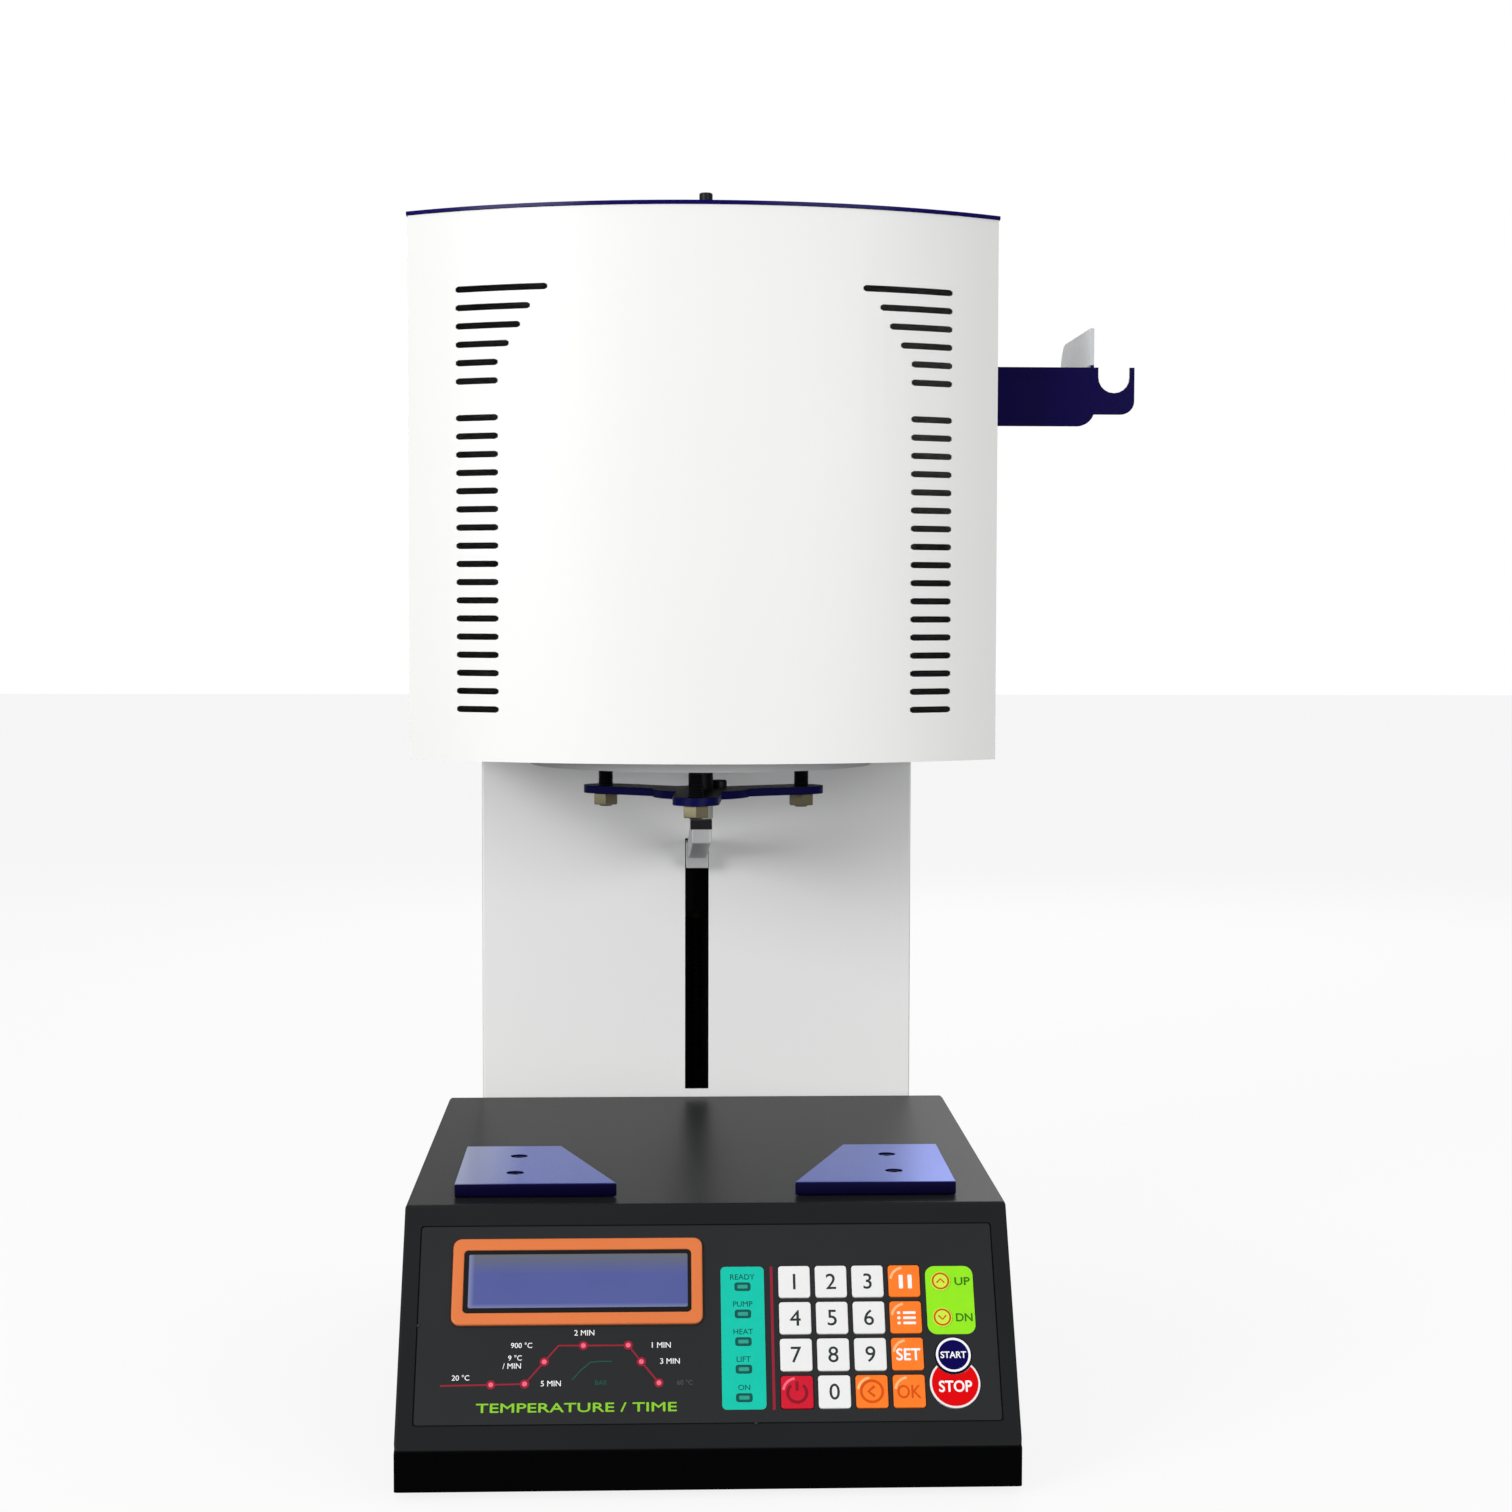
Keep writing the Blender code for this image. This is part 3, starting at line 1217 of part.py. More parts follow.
def make_motor():
    half = MOTOR_SIDE / 2
    top = FRAME_LOW - GAP
    motor = add_part(
        "lift_motor",
        box_mesh((-half, half), (-half, half), (top - MOTOR_HEIGHT, top)),
        DARK_STEEL, 0.4, 0.6, location=(0, SCREW_Y, 0),
    )
    round_edges(motor, MOTOR_EDGE)


# Rear fittings


def make_mains_inlet():
    """Flanged socket with three pins in its cavity."""
    outside = REAR_Y + GAP
    flange = box_mesh(
        (-INLET_FLANGE_WIDTH / 2, INLET_FLANGE_WIDTH / 2),
        (outside, outside + INLET_FLANGE_SHEET),
        (-INLET_FLANGE_HEIGHT / 2, INLET_FLANGE_HEIGHT / 2),
    )
    inlet = add_part("mains_inlet", flange, PLASTIC_BLACK, 0.5, location=(INLET_X, 0, FITTING_HEIGHT))
    half, rise = INLET_WIDTH / 2, INLET_HEIGHT / 2
    face = outside + INLET_FLANGE_SHEET
    back = face - INLET_DEPTH
    join(inlet, box_mesh((-half, half), (back, face), (-rise, rise)))
    half, rise = half - INLET_WALL, rise - INLET_WALL
    floor = back + INLET_FLOOR
    cut(inlet, box_mesh((-half, half), (floor, face + OVERRUN), (-rise, rise)))
    for x, z in ((-PIN_PITCH, -PIN_DROP), (0, PIN_RISE), (PIN_PITCH, -PIN_DROP)):
        pin = box_mesh(
            (x - PIN_WIDTH / 2, x + PIN_WIDTH / 2),
            (floor - OVERRUN, floor + PIN_LENGTH),
            (z - PIN_HEIGHT / 2, z + PIN_HEIGHT / 2),
        )
        join(inlet, pin)


def make_mains_switch():
    """Rocker in its hole, tilted to the off side, on an axis along X."""
    outline = [
        (SWITCH_FRONT_END, SWITCH_HALF_HEIGHT),
        (SWITCH_FRONT_MIDDLE, 0),
        (SWITCH_FRONT_END, -SWITCH_HALF_HEIGHT),
        (-SWITCH_BACK, -SWITCH_HALF_HEIGHT / 2),
        (-SWITCH_BACK, SWITCH_HALF_HEIGHT / 2),
    ]
    rocker = add_part(
        "mains_switch", outline_mesh(outline, SWITCH_WIDTH, UPRIGHT_YZ), PLASTIC_BLACK, 0.4,
        location=(SWITCH_X, REAR_Y - REAR_SHEET / 2, FITTING_HEIGHT),
    )
    rocker.rotation_euler = (-SWITCH_TILT, 0, 0)


def make_vacuum_nozzle():
    """Hose nozzle through the rear panel, with a collar outside, bored through."""
    collar_low = GAP
    collar_top = collar_low + NOZZLE_COLLAR
    profile = [
        (NOZZLE_BORE, NOZZLE_LENGTH),
        (NOZZLE_RADIUS, NOZZLE_LENGTH),
        (NOZZLE_RADIUS, collar_top),
        (NOZZLE_COLLAR_RADIUS, collar_top),
        (NOZZLE_COLLAR_RADIUS, collar_low),
        (NOZZLE_RADIUS, collar_low),
        (NOZZLE_RADIUS, -NOZZLE_TAIL),
        (NOZZLE_BORE, -NOZZLE_TAIL),
    ]
    here = (NOZZLE_X, REAR_Y, FITTING_HEIGHT)
    nozzle = turned("vacuum_nozzle", profile, BRASS, 0.3, 1.0, location=here)
    nozzle.rotation_euler = (-pi / 2, 0, 0)


# Tong holder


def make_tong_holder():
    """Bent sheet: flange on the housing side, front web with a U notch, and a fence."""
    low = HOLDER_TOP - HOLDER_DROP
    rear_y = HOLDER_Y + HOLDER_LENGTH
    side = HOLDER_SIDE_X
    flange = box_mesh((side, side + HOLDER_SHEET), (HOLDER_Y, rear_y), (low, HOLDER_TOP))
    holder = add_part("tong_holder", flange, NAVY, 0.25, 0.3)
    tail_low = low + HOLDER_STEP_RISE
    body_radius = HOLDER_BODY_RADIUS
    tail_radius = HOLDER_TAIL_RADIUS
    body_end = asin(HOLDER_STEP_RISE / body_radius - 1)
    body_centre = (HOLDER_FENCE_X - body_radius * cos(body_end), low + body_radius)
    tail_centre = (HOLDER_TIP_X - tail_radius, tail_low + tail_radius)
    notch_middle = HOLDER_TOP - HOLDER_NOTCH_DEPTH + HOLDER_NOTCH_RADIUS
    notch_left = HOLDER_NOTCH_X - HOLDER_NOTCH_RADIUS
    notch_right = HOLDER_NOTCH_X + HOLDER_NOTCH_RADIUS
    web = [(side, HOLDER_TOP), (side, low)]
    web += arc_points(body_centre, body_radius, -pi / 2, body_end, HOLDER_ARC_STEPS)
    web += arc_points(tail_centre, tail_radius, -pi / 2, 0, HOLDER_ARC_STEPS)
    web += [(HOLDER_TIP_X, HOLDER_TOP), (notch_right, HOLDER_TOP)]
    web += arc_points((HOLDER_NOTCH_X, notch_middle), HOLDER_NOTCH_RADIUS, 0, -pi, HOLDER_ARC_STEPS)
    web.append((notch_left, HOLDER_TOP))
    web_middle = HOLDER_Y + HOLDER_SHEET / 2
    join(holder, outline_mesh(web, HOLDER_SHEET, Matrix.Translation((0, web_middle, 0)) @ UPRIGHT_XZ))
    fence_top = HOLDER_TOP + HOLDER_FENCE_RISE
    corner = HOLDER_FENCE_CORNER
    fence_low = tail_low + HOLDER_FENCE_LIFT
    fence = [(HOLDER_Y, fence_low), (rear_y, fence_low)]
    fence += arc_points((rear_y - corner, fence_top - corner), corner, 0, pi / 2, HOLDER_ARC_STEPS)
    fence += [(HOLDER_Y, fence_top)]
    fence_middle = HOLDER_FENCE_X - HOLDER_SHEET / 2
    fence_place = Matrix.Translation((fence_middle, 0, 0)) @ UPRIGHT_YZ
    join(holder, outline_mesh(fence, HOLDER_SHEET, fence_place))


make_base_pan()
make_feet()
make_console_cover()
make_control_panel()
make_display()
make_keys()
make_keypad_board()
make_cooling_plates()
make_column_cover()
make_rear_panel()
make_muffle_housing()
make_top_cover()
make_muffle_floor()
make_chamber()
make_tripod()
make_studs()
make_platform()
make_lift_arm()
make_carriage()
make_lift_frame()
make_guides()
make_lead_screw()
make_motor()
make_mains_inlet()
make_mains_switch()
make_vacuum_nozzle()
make_tong_holder()
bpy.context.view_layer.update()
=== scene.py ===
from math import atan2, cos, degrees, pi, radians, sin, sqrt

import bmesh
import bpy
from mathutils import Matrix, Vector


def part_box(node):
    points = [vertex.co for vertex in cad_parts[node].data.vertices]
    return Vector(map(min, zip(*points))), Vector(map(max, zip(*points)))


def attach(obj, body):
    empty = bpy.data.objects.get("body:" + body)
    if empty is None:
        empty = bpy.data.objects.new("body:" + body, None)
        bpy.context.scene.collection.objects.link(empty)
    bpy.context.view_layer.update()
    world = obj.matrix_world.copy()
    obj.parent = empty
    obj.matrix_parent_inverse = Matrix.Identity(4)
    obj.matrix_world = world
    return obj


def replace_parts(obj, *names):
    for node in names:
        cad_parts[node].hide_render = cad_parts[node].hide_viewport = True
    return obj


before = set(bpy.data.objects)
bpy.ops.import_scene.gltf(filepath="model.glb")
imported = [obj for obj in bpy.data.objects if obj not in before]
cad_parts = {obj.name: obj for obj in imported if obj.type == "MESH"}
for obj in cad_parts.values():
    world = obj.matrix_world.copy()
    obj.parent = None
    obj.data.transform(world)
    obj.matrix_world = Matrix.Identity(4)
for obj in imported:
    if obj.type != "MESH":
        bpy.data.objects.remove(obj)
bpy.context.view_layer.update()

# Rubber feet
# Four moulded black rubber feet are pushed into holes in the base pan from below.
# They are matt and slightly rough, with dust in the grain.
MM = 0.001


def colour(code):
    """An sRGB hex code as linear red, green and blue, with alpha."""
    shares = [int(code[i:i + 2], 16) / 255 for i in (1, 3, 5)]
    return (*[s / 12.92 if s <= 0.04045 else ((s + 0.055) / 1.055) ** 2.4 for s in shares], 1.0)


def add_node(owner, kind, sockets=None, **settings):
    """Adds a node to a material, the world or a node group, and sets or links its sockets."""
    tree = getattr(owner, "node_tree", owner)
    node = tree.nodes.new(kind)
    for setting, value in settings.items():
        setattr(node, setting, value)
    for socket, value in (sockets or {}).items():
        if isinstance(value, bpy.types.NodeSocket):
            tree.links.new(value, node.inputs[socket])
        else:
            node.inputs[socket].default_value = value
    return node


def new_material(name):
    material = bpy.data.materials.new(name)
    material.use_nodes = True
    material.node_tree.nodes.clear()
    return material


def object_place(material, stretch=(1, 1, 1)):
    place = add_node(material, "ShaderNodeTexCoord").outputs["Object"]
    return add_node(material, "ShaderNodeMapping", {"Vector": place, "Scale": stretch}).outputs[0]


def noise(material, place, size, detail=3.0):
    """Noise with blotches of a size in millimetres."""
    sockets = {"Vector": place, "Scale": 1 / (size * MM), "Detail": detail}
    return add_node(material, "ShaderNodeTexNoise", sockets).outputs["Fac"]


def blend_of(material, share, first, second):
    """The first colour where the share is 0, and the second where it is 1."""
    mix = add_node(material, "ShaderNodeMix", {0: share, 6: first, 7: second}, data_type="RGBA")
    return mix.outputs[2]


def ramp(material, value, low, high, first=0.0, last=1.0):
    """Goes from first to last while a value goes from low to high."""
    sockets = {"Value": value, "From Min": low, "From Max": high, "To Min": first, "To Max": last}
    return add_node(material, "ShaderNodeMapRange", sockets).outputs["Result"]


def close_surface(material, tone, grains, relief, roughness, spread, **fixed):
    """Roughness and relief that follow the grains, and the shader's own fixed sockets."""
    rough = ramp(material, grains, 0.0, 1.0, roughness - spread, roughness + spread)
    bump = add_node(material, "ShaderNodeBump", {"Height": grains, "Distance": relief * MM})
    sockets = {"Base Color": tone, "Roughness": rough, "Normal": bump.outputs["Normal"]}
    sockets.update({name.replace("_", " "): value for name, value in fixed.items()})
    shader = add_node(material, "ShaderNodeBsdfPrincipled", sockets)
    add_node(material, "ShaderNodeOutputMaterial", {"Surface": shader.outputs["BSDF"]})
    return material


def surface(
    name, tint, shade, grain, relief, roughness, spread=0.04, patch=40, stretch=(1, 1, 1), **fixed
):
    """A finish whose patches shade off and whose grains stand up by the relief, all in mm."""
    material = new_material(name)
    place = object_place(material, stretch)
    tone = blend_of(material, noise(material, place, patch), colour(tint), colour(shade))
    grains = noise(material, place, grain, 2.0)
    return close_surface(material, tone, grains, relief, roughness, spread, **fixed)


MERGE_GAP = 0.01 * MM
SHARP_ANGLE = radians(30)


def shaded_smooth():
    """Merges a solid's loose triangles and shades them smooth between its sharp edges."""
    group = bpy.data.node_groups.new("merged_and_smooth", "GeometryNodeTree")
    for side in ("INPUT", "OUTPUT"):
        group.interface.new_socket("Geometry", in_out=side, socket_type="NodeSocketGeometry")
    start = add_node(group, "NodeGroupInput").outputs[0]
    merged = add_node(
        group, "GeometryNodeMergeByDistance", {"Geometry": start, "Distance": MERGE_GAP}
    ).outputs[0]
    angle = add_node(group, "GeometryNodeInputMeshEdgeAngle").outputs[0]
    sharp = add_node(
        group, "FunctionNodeCompare", {0: angle, 1: SHARP_ANGLE}, operation="GREATER_THAN"
    ).outputs[0]
    smooth = add_node(
        group, "GeometryNodeSetMeshNormal",
        {"Mesh": merged, "Edge Sharpness": sharp, "Face Sharpness": False}, mode="SHARPNESS",
    )
    add_node(group, "NodeGroupOutput", {0: smooth.outputs[0]})
    return group


SMOOTH = shaded_smooth()


def dress(material, *names):
    """Gives a solid of the frame its finish, and shades its round faces smooth."""
    for name in names:
        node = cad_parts[name]
        for slot in node.material_slots:
            slot.material = material
        node.modifiers.new("smooth", "NODES").node_group = SMOOTH
        node.modifiers.new("even_shine", "WEIGHTED_NORMAL").keep_sharp = True


# Black natural rubber, moulded: matt, a little uneven, no clear reflections.
foot_rubber = surface("moulded_rubber", "#1B1B1C", "#262627", 0.8, 0.05, 0.85)
dress(foot_rubber, "foot_front_left", "foot_front_right", "foot_rear_left", "foot_rear_right")

# Base pan
# The floor of the console and of the column is one tray of galvanised sheet steel, folded up
# at its rim. It is seen from below only.

# Galvanised sheet: dull grey zinc with crystals of about 9 mm that differ a little in shade.
galvanised = surface(
    "galvanised_sheet_steel", "#A9ADB0", "#8C9195", 2.0, 0.02, 0.42, 0.10, patch=9, Metallic=1.0
)
dress(galvanised, "base_pan")

# Console cover
# A sheet steel cover folded over the pan: skirt, sloping front and flat top. It is sprayed
# with a charcoal coat, smooth enough for broad soft reflections.
SKIRT_TOP = 23.9


def axis_of(material, place, axis):
    """How far a place lies along one axis."""
    return add_node(material, "ShaderNodeSeparateXYZ", {"Vector": place}).outputs[axis]


def console_finish():
    """Satin charcoal enamel with an orange peel of about 1.2 mm, blacker over the skirt."""
    material = new_material("charcoal_enamel")
    place = object_place(material)
    height = axis_of(material, place, "Z")
    share = ramp(material, height, (SKIRT_TOP - 0.3) * MM, (SKIRT_TOP + 0.5) * MM)
    coat = blend_of(material, noise(material, place, 120), colour("#1B1C1D"), colour("#212223"))
    tone = blend_of(material, share, colour("#040405"), coat)
    shine = ramp(material, share, 0.0, 1.0, 0.02, 0.08)
    grains = noise(material, place, 1.2)
    return close_surface(material, tone, grains, 0.008, 0.38, 0.03, Specular_IOR_Level=shine)


dress(console_finish(), "console_cover")

# Control panel
# A printed polyester foil on a sheet that sits 0.1 mm proud in the sloping front, held at its
# rim by small black plugs. Strip, pad, line, diagram and words are printed inks.

# Places are in millimetres: on the bench from the middle of the console's front, and on the
# slope to the right, up along the sloping front and out of it.
console_low, console_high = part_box("console_cover")
middle_x = (console_low.x + console_high.x) / 2
BENCH = Matrix.Translation((middle_x, console_low.y, 0)) @ Matrix.Scale(MM, 4)
SLOPE_RISE = 103.0
SLOPE_DEPTH = 67.5
SLOPE_TILT = Matrix.Rotation(atan2(SLOPE_RISE, SLOPE_DEPTH), 4, "X")
SLOPE = BENCH @ Matrix.Translation((0, 0, SKIRT_TOP)) @ SLOPE_TILT
# A hair keeps faces apart that would otherwise lie in one plane.
HAIR = 0.001
PANEL_TOP = 0.1
INK = 0.05


def add_piece(name, work, materials, body, place=SLOPE, corner=35):
    """Makes a mesh in millimetres a finished piece, with its place in its mesh."""
    bmesh.ops.remove_doubles(work, verts=work.verts, dist=HAIR)
    bmesh.ops.transform(work, matrix=place, verts=work.verts)
    bmesh.ops.recalc_face_normals(work, faces=work.faces)
    mesh = bpy.data.meshes.new(name)
    work.to_mesh(mesh)
    work.free()
    for material in materials if isinstance(materials, list) else [materials]:
        mesh.materials.append(material)
    if "custom_normal" in mesh.attributes:
        mesh.attributes.remove(mesh.attributes["custom_normal"])
    mesh.shade_smooth()
    mesh.set_sharp_from_angle(angle=radians(corner))
    piece = bpy.data.objects.new(name, mesh)
    bpy.context.scene.collection.objects.link(piece)
    piece.modifiers.new("even_shine", "WEIGHTED_NORMAL").keep_sharp = True
    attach(piece, body)
    return piece


def bevel_edges(work, edges, width, segments=3):
    bmesh.ops.bevel(
        work, geom=edges, offset=width, offset_type="OFFSET", segments=segments, profile=0.5,
        affect="EDGES", material=-1,
    )


def rim_edges(work, height):
    return [e for e in work.edges if all(abs(v.co.z - height) < HAIR for v in e.verts)]


def add_slab(work, width, length, corner, low, high, centre=(0, 0), edge=0.0, segments=6):
    """A block with round corners, and a round upper edge where one is asked for."""
    block = bmesh.new()
    size = Matrix.Diagonal((width, length, high - low, 1))
    place = Matrix.Translation((*centre, (low + high) / 2))
    bmesh.ops.create_cube(block, size=1.0, matrix=place @ size)
    upright = [e for e in block.edges if abs(e.verts[0].co.z - e.verts[1].co.z) > HAIR]
    bevel_edges(block, upright, corner, segments)
    if edge:
        bevel_edges(block, rim_edges(block, high), edge)
    add_to(work, block)


def add_to(work, part, place=Matrix()):
    """Adds a mesh to another, and frees it."""
    mesh = bpy.data.meshes.new("part")
    bmesh.ops.transform(part, matrix=place, verts=part.verts)
    part.to_mesh(mesh)
    part.free()
    work.from_mesh(mesh)
    bpy.data.meshes.remove(mesh)


def add_disc(work, radius, low, high, centre, edge=0.0, steps=48):
    """A round block, with a round upper edge where one is asked for."""
    disc = bmesh.new()
    bmesh.ops.create_cone(
        disc, cap_ends=True, segments=steps, radius1=radius, radius2=radius, depth=high - low,
        matrix=Matrix.Translation((*centre, (low + high) / 2)),
    )
    if edge:
        bevel_edges(disc, rim_edges(disc, high), edge)
    add_to(work, disc)


def mesh_of(curve):
    """Turns a curve or words into a mesh, and frees what it was made from."""
    holder = bpy.data.objects.new("curve", curve)
    mesh = bpy.data.meshes.new_from_object(holder)
    bpy.data.objects.remove(holder)
    bpy.data.curves.remove(curve)
    return mesh


def add_words(work, words, height, centre, ground=PANEL_TOP, width=None, bold=0.0):
    """Plain upright letters of ink, centred on a ground. Bold ones are laid over themselves."""
    curve = bpy.data.curves.new("words", "FONT")
    curve.body = words
    curve.size = height
    curve.extrude = INK / 2
    curve.resolution_u = 4
    mesh = mesh_of(curve)
    xs = [v.co.x for v in mesh.vertices]
    ys = [v.co.y for v in mesh.vertices]
    rise = height / (max(ys) - min(ys))
    run = rise if width is None else width / (max(xs) - min(xs))
    middle = Matrix.Translation((-(min(xs) + max(xs)) / 2, -(min(ys) + max(ys)) / 2, 0))
    mesh.transform(Matrix.Diagonal((run, rise, 1, 1)) @ middle)
    here = Vector()
    shifts = [(bold, 0), (-bold, 0), (0, bold), (0, -bold)] if bold else [(0, 0)]
    for i, (x, y) in enumerate(shifts):
        layer = ground + INK / 2 - HAIR + 2 * HAIR * i
        there = Vector((centre[0] + x, centre[1] + y, layer))
        mesh.transform(Matrix.Translation(there - here))
        work.from_mesh(mesh)
        here = there
    bpy.data.meshes.remove(mesh)


def add_wire(work, points, radius, place=Matrix(), roundness=2, closed=False):
    """A round wire along points."""
    curve = bpy.data.curves.new("wire", "CURVE")
    curve.dimensions = "3D"
    curve.bevel_depth = radius
    curve.bevel_resolution = roundness
    curve.use_fill_caps = True
    spline = curve.splines.new("POLY")
    spline.points.add(len(points) - 1)
    for point, here in zip(spline.points, points):
        point.co = (*here, 1)
    spline.use_cyclic_u = closed
    mesh = mesh_of(curve)
    mesh.transform(place)
    work.from_mesh(mesh)
    bpy.data.meshes.remove(mesh)


def add_line(work, points, width, ground=PANEL_TOP, closed=False):
    """A line of ink along points: a round wire pressed flat."""
    pressed = Matrix.Diagonal((1, 1, 1.6 * INK / width, 1))
    place = Matrix.Translation((0, 0, ground + INK / 2)) @ pressed
    add_wire(work, [(x, y, 0) for x, y in points], width / 2, place, closed=closed)


def arc(centre, radius, start, end, steps):
    """Points on an arc between two angles in degrees."""
    turns = [radians(start + (end - start) * i / steps) for i in range(steps + 1)]
    return [(centre[0] + radius * cos(t), centre[1] + radius * sin(t)) for t in turns]


def ink(name, tint, shade, roughness=0.38):
    """Screen ink on foil: an even colour with a faint grain of 0.4 mm."""
    return surface(name, tint, shade, 0.4, 0.002, roughness, 0.03, patch=6, Specular_IOR_Level=0.2)


# Polyester foil with a fine matt embossing of 0.5 mm: a dull black with a wide soft shine.
foil = surface(
    "embossed_polyester_foil", "#1D1E20", "#222325", 0.5, 0.006, 0.42, patch=60,
    Specular_IOR_Level=0.25,
)
dress(foil, "control_panel")

teal_ink = ink("teal_screen_ink", "#06BBA3", "#0CC4AB")
dark_teal_ink = ink("dark_teal_screen_ink", "#075048", "#08584E")
lime_ink = ink("lime_screen_ink", "#93E81E", "#8BE016")
crimson_ink = ink("crimson_screen_ink", "#9E1B33", "#8C1A2E")
pink_ink = ink("pink_screen_ink", "#F0708A", "#E65A78")
white_ink = ink("white_screen_ink", "#F6F6F6", "#EDEDED")
grey_ink = ink("grey_screen_ink", "#5B5550", "#514C48")
heading_ink = ink("leaf_green_screen_ink", "#8ACB2E", "#80BF2A")

LIGHTS_X = 17.1
LIGHTS = {"READY": 79.8, "PUMP": 66.0, "HEAT": 52.1, "LIFT": 38.4, "ON": 24.4}
strip = bmesh.new()
add_slab(strip, 21.3, 71.4, 2.2, 0, PANEL_TOP + INK, (17.05, 54.3))
add_piece("light_strip", strip, teal_ink, "furnace")
windows = bmesh.new()
lamps = bmesh.new()
for words, s in LIGHTS.items():
    add_slab(windows, 8.0, 4.4, 1.3, PANEL_TOP, PANEL_TOP + 2 * INK, (LIGHTS_X, s))
    add_slab(lamps, 5.0, 1.9, 0.5, PANEL_TOP, PANEL_TOP + 3 * INK, (LIGHTS_X, s))
    add_words(windows, words, 2.7, (LIGHTS_X, s + 5.0), PANEL_TOP + INK, bold=0.02)
add_piece("light_frames_and_words", windows, dark_teal_ink, "furnace")
# Clear lamp windows of dyed polycarbonate, unlit.
lamp_window = surface("dyed_polycarbonate", "#1F9484", "#2BA391", 0.5, 0.002, 0.18)
add_piece("lamp_windows", lamps, lamp_window, "furnace")

pad = bmesh.new()
add_slab(pad, 23.5, 34.6, 4.6, 0, PANEL_TOP + INK, (119.15, 72.3), segments=8)
add_piece("arrow_pad", pad, lime_ink, "furnace")
arrow_words = bmesh.new()
add_words(arrow_words, "UP", 3.9, (125.6, 81.8), PANEL_TOP + INK, 7.4, 0.12)
add_words(arrow_words, "DN", 3.9, (125.6, 63.4), PANEL_TOP + INK, 8.0, 0.12)
dark_green_ink = ink("dark_green_screen_ink", "#3C7A0A", "#34700A")
add_piece("arrow_words", arrow_words, dark_green_ink, "furnace")

FIRING_LINE = [
    (-129.1, 31.5), (-104.8, 31.8), (-88.6, 32.1), (-79.4, 42.9), (-72.6, 50.9), (-60.6, 50.8),
    (-38.9, 50.8), (-32.5, 42.6), (-24.0, 32.1),
]
FIRING_DOTS = [FIRING_LINE[i] for i in (1, 2, 3, 5, 6, 7, 8)]
crimson = bmesh.new()
add_line(crimson, FIRING_LINE, 0.8)
add_line(crimson, [(31.4, 18.3), (31.4, 90.0)], 1.3)
for dot in FIRING_DOTS:
    add_disc(crimson, 2.2, PANEL_TOP - INK, PANEL_TOP + 1.4 * INK, dot, steps=24)
add_piece("crimson_lines", crimson, crimson_ink, "furnace")
dots = bmesh.new()
for dot in FIRING_DOTS:
    add_disc(dots, 1.2, PANEL_TOP, PANEL_TOP + 2 * INK, dot, steps=20)
add_piece("diagram_dots", dots, pink_ink, "furnace")
VACUUM_LINE = [(-65.9, 33.9), (-61.7, 38.6), (-57.1, 42.5), (-52.5, 42.9), (-46.9, 42.9)]
vacuum_line = bmesh.new()
add_line(vacuum_line, VACUUM_LINE, 0.5)
add_words(vacuum_line, "BAR", 2.3, (-51.8, 32.4))
add_piece("vacuum_line", vacuum_line, dark_teal_ink, "furnace")
LABELS = (
    ("20 °C", -119.4, 35.4), ("9 °C", -93.5, 45.0), ("/ MIN", -95.0, 41.0),
    ("900 °C", -90.5, 51.2), ("2 MIN", -60.2, 57.2), ("1 MIN", -22.8, 50.8),
    ("3 MIN", -18.6, 42.8), ("5 MIN", -76.0, 32.2),
)
labels = bmesh.new()
for words, x, s in LABELS:
    add_words(labels, words, 2.7, (x, s), bold=0.02)
add_piece("diagram_labels", labels, white_ink, "furnace")
faint = bmesh.new()
add_words(faint, "60 °C", 2.4, (-11.5, 32.2))
add_piece("faint_label", faint, grey_ink, "furnace")
heading = bmesh.new()
add_words(heading, "TEMPERATURE / TIME", 4.4, (-63.5, 20.4), width=96.0, bold=0.10)
add_piece("diagram_heading", heading, heading_ink, "furnace")

# Black snap-in plugs of nylon hold the foil's carrier at its rim.
black_nylon = surface("moulded_black_nylon", "#0E0E0F", "#161617", 0.5, 0.01, 0.45)
plugs = bmesh.new()
for centre in ((-140.7, 61.5), (22.6, 12.1)):
    add_disc(plugs, 0.9, -0.5, 0.45, centre, 0.25, 16)
add_piece("panel_plugs", plugs, black_nylon, "furnace")

# Display
# A moulded orange bezel with round corners is glued over the window, with a thin black ring round
# it as painted shadow.
# Behind it lies a black mask and the glass of a blue character display, which is off.
BEZEL_CENTRE = Vector((-63.8, 82.9, 0))


def banded_frame(bands):
    """A closed frame through round-cornered outlines: width, length, corner, height and shift."""
    work = bmesh.new()
    loops = []
    for width, length, corner, height, *shift in bands:
        made = bmesh.ops.create_grid(work, x_segments=1, y_segments=1, size=0.5)["verts"]
        middle = Matrix.Translation(BEZEL_CENTRE + Vector((*(shift or (0, 0)), height)))
        sized = middle @ Matrix.Diagonal((width, length, 1, 1))
        bmesh.ops.transform(work, matrix=sized, verts=made)
        bmesh.ops.bevel(
            work, geom=made, offset=corner, offset_type="OFFSET", segments=6, profile=0.5,
            affect="VERTICES", material=-1,
        )
        used = [edge for loop in loops for edge in loop]
        free = [f for f in work.faces if not any(edge in used for edge in f.edges)]
        flat = max(free, key=lambda f: len(f.verts))
        loops.append(list(flat.edges))
        bmesh.ops.delete(work, geom=[flat], context="FACES_ONLY")
    for first, second in zip(loops, loops[1:] + loops[:1]):
        bmesh.ops.bridge_loops(work, edges=first + second)
    return work


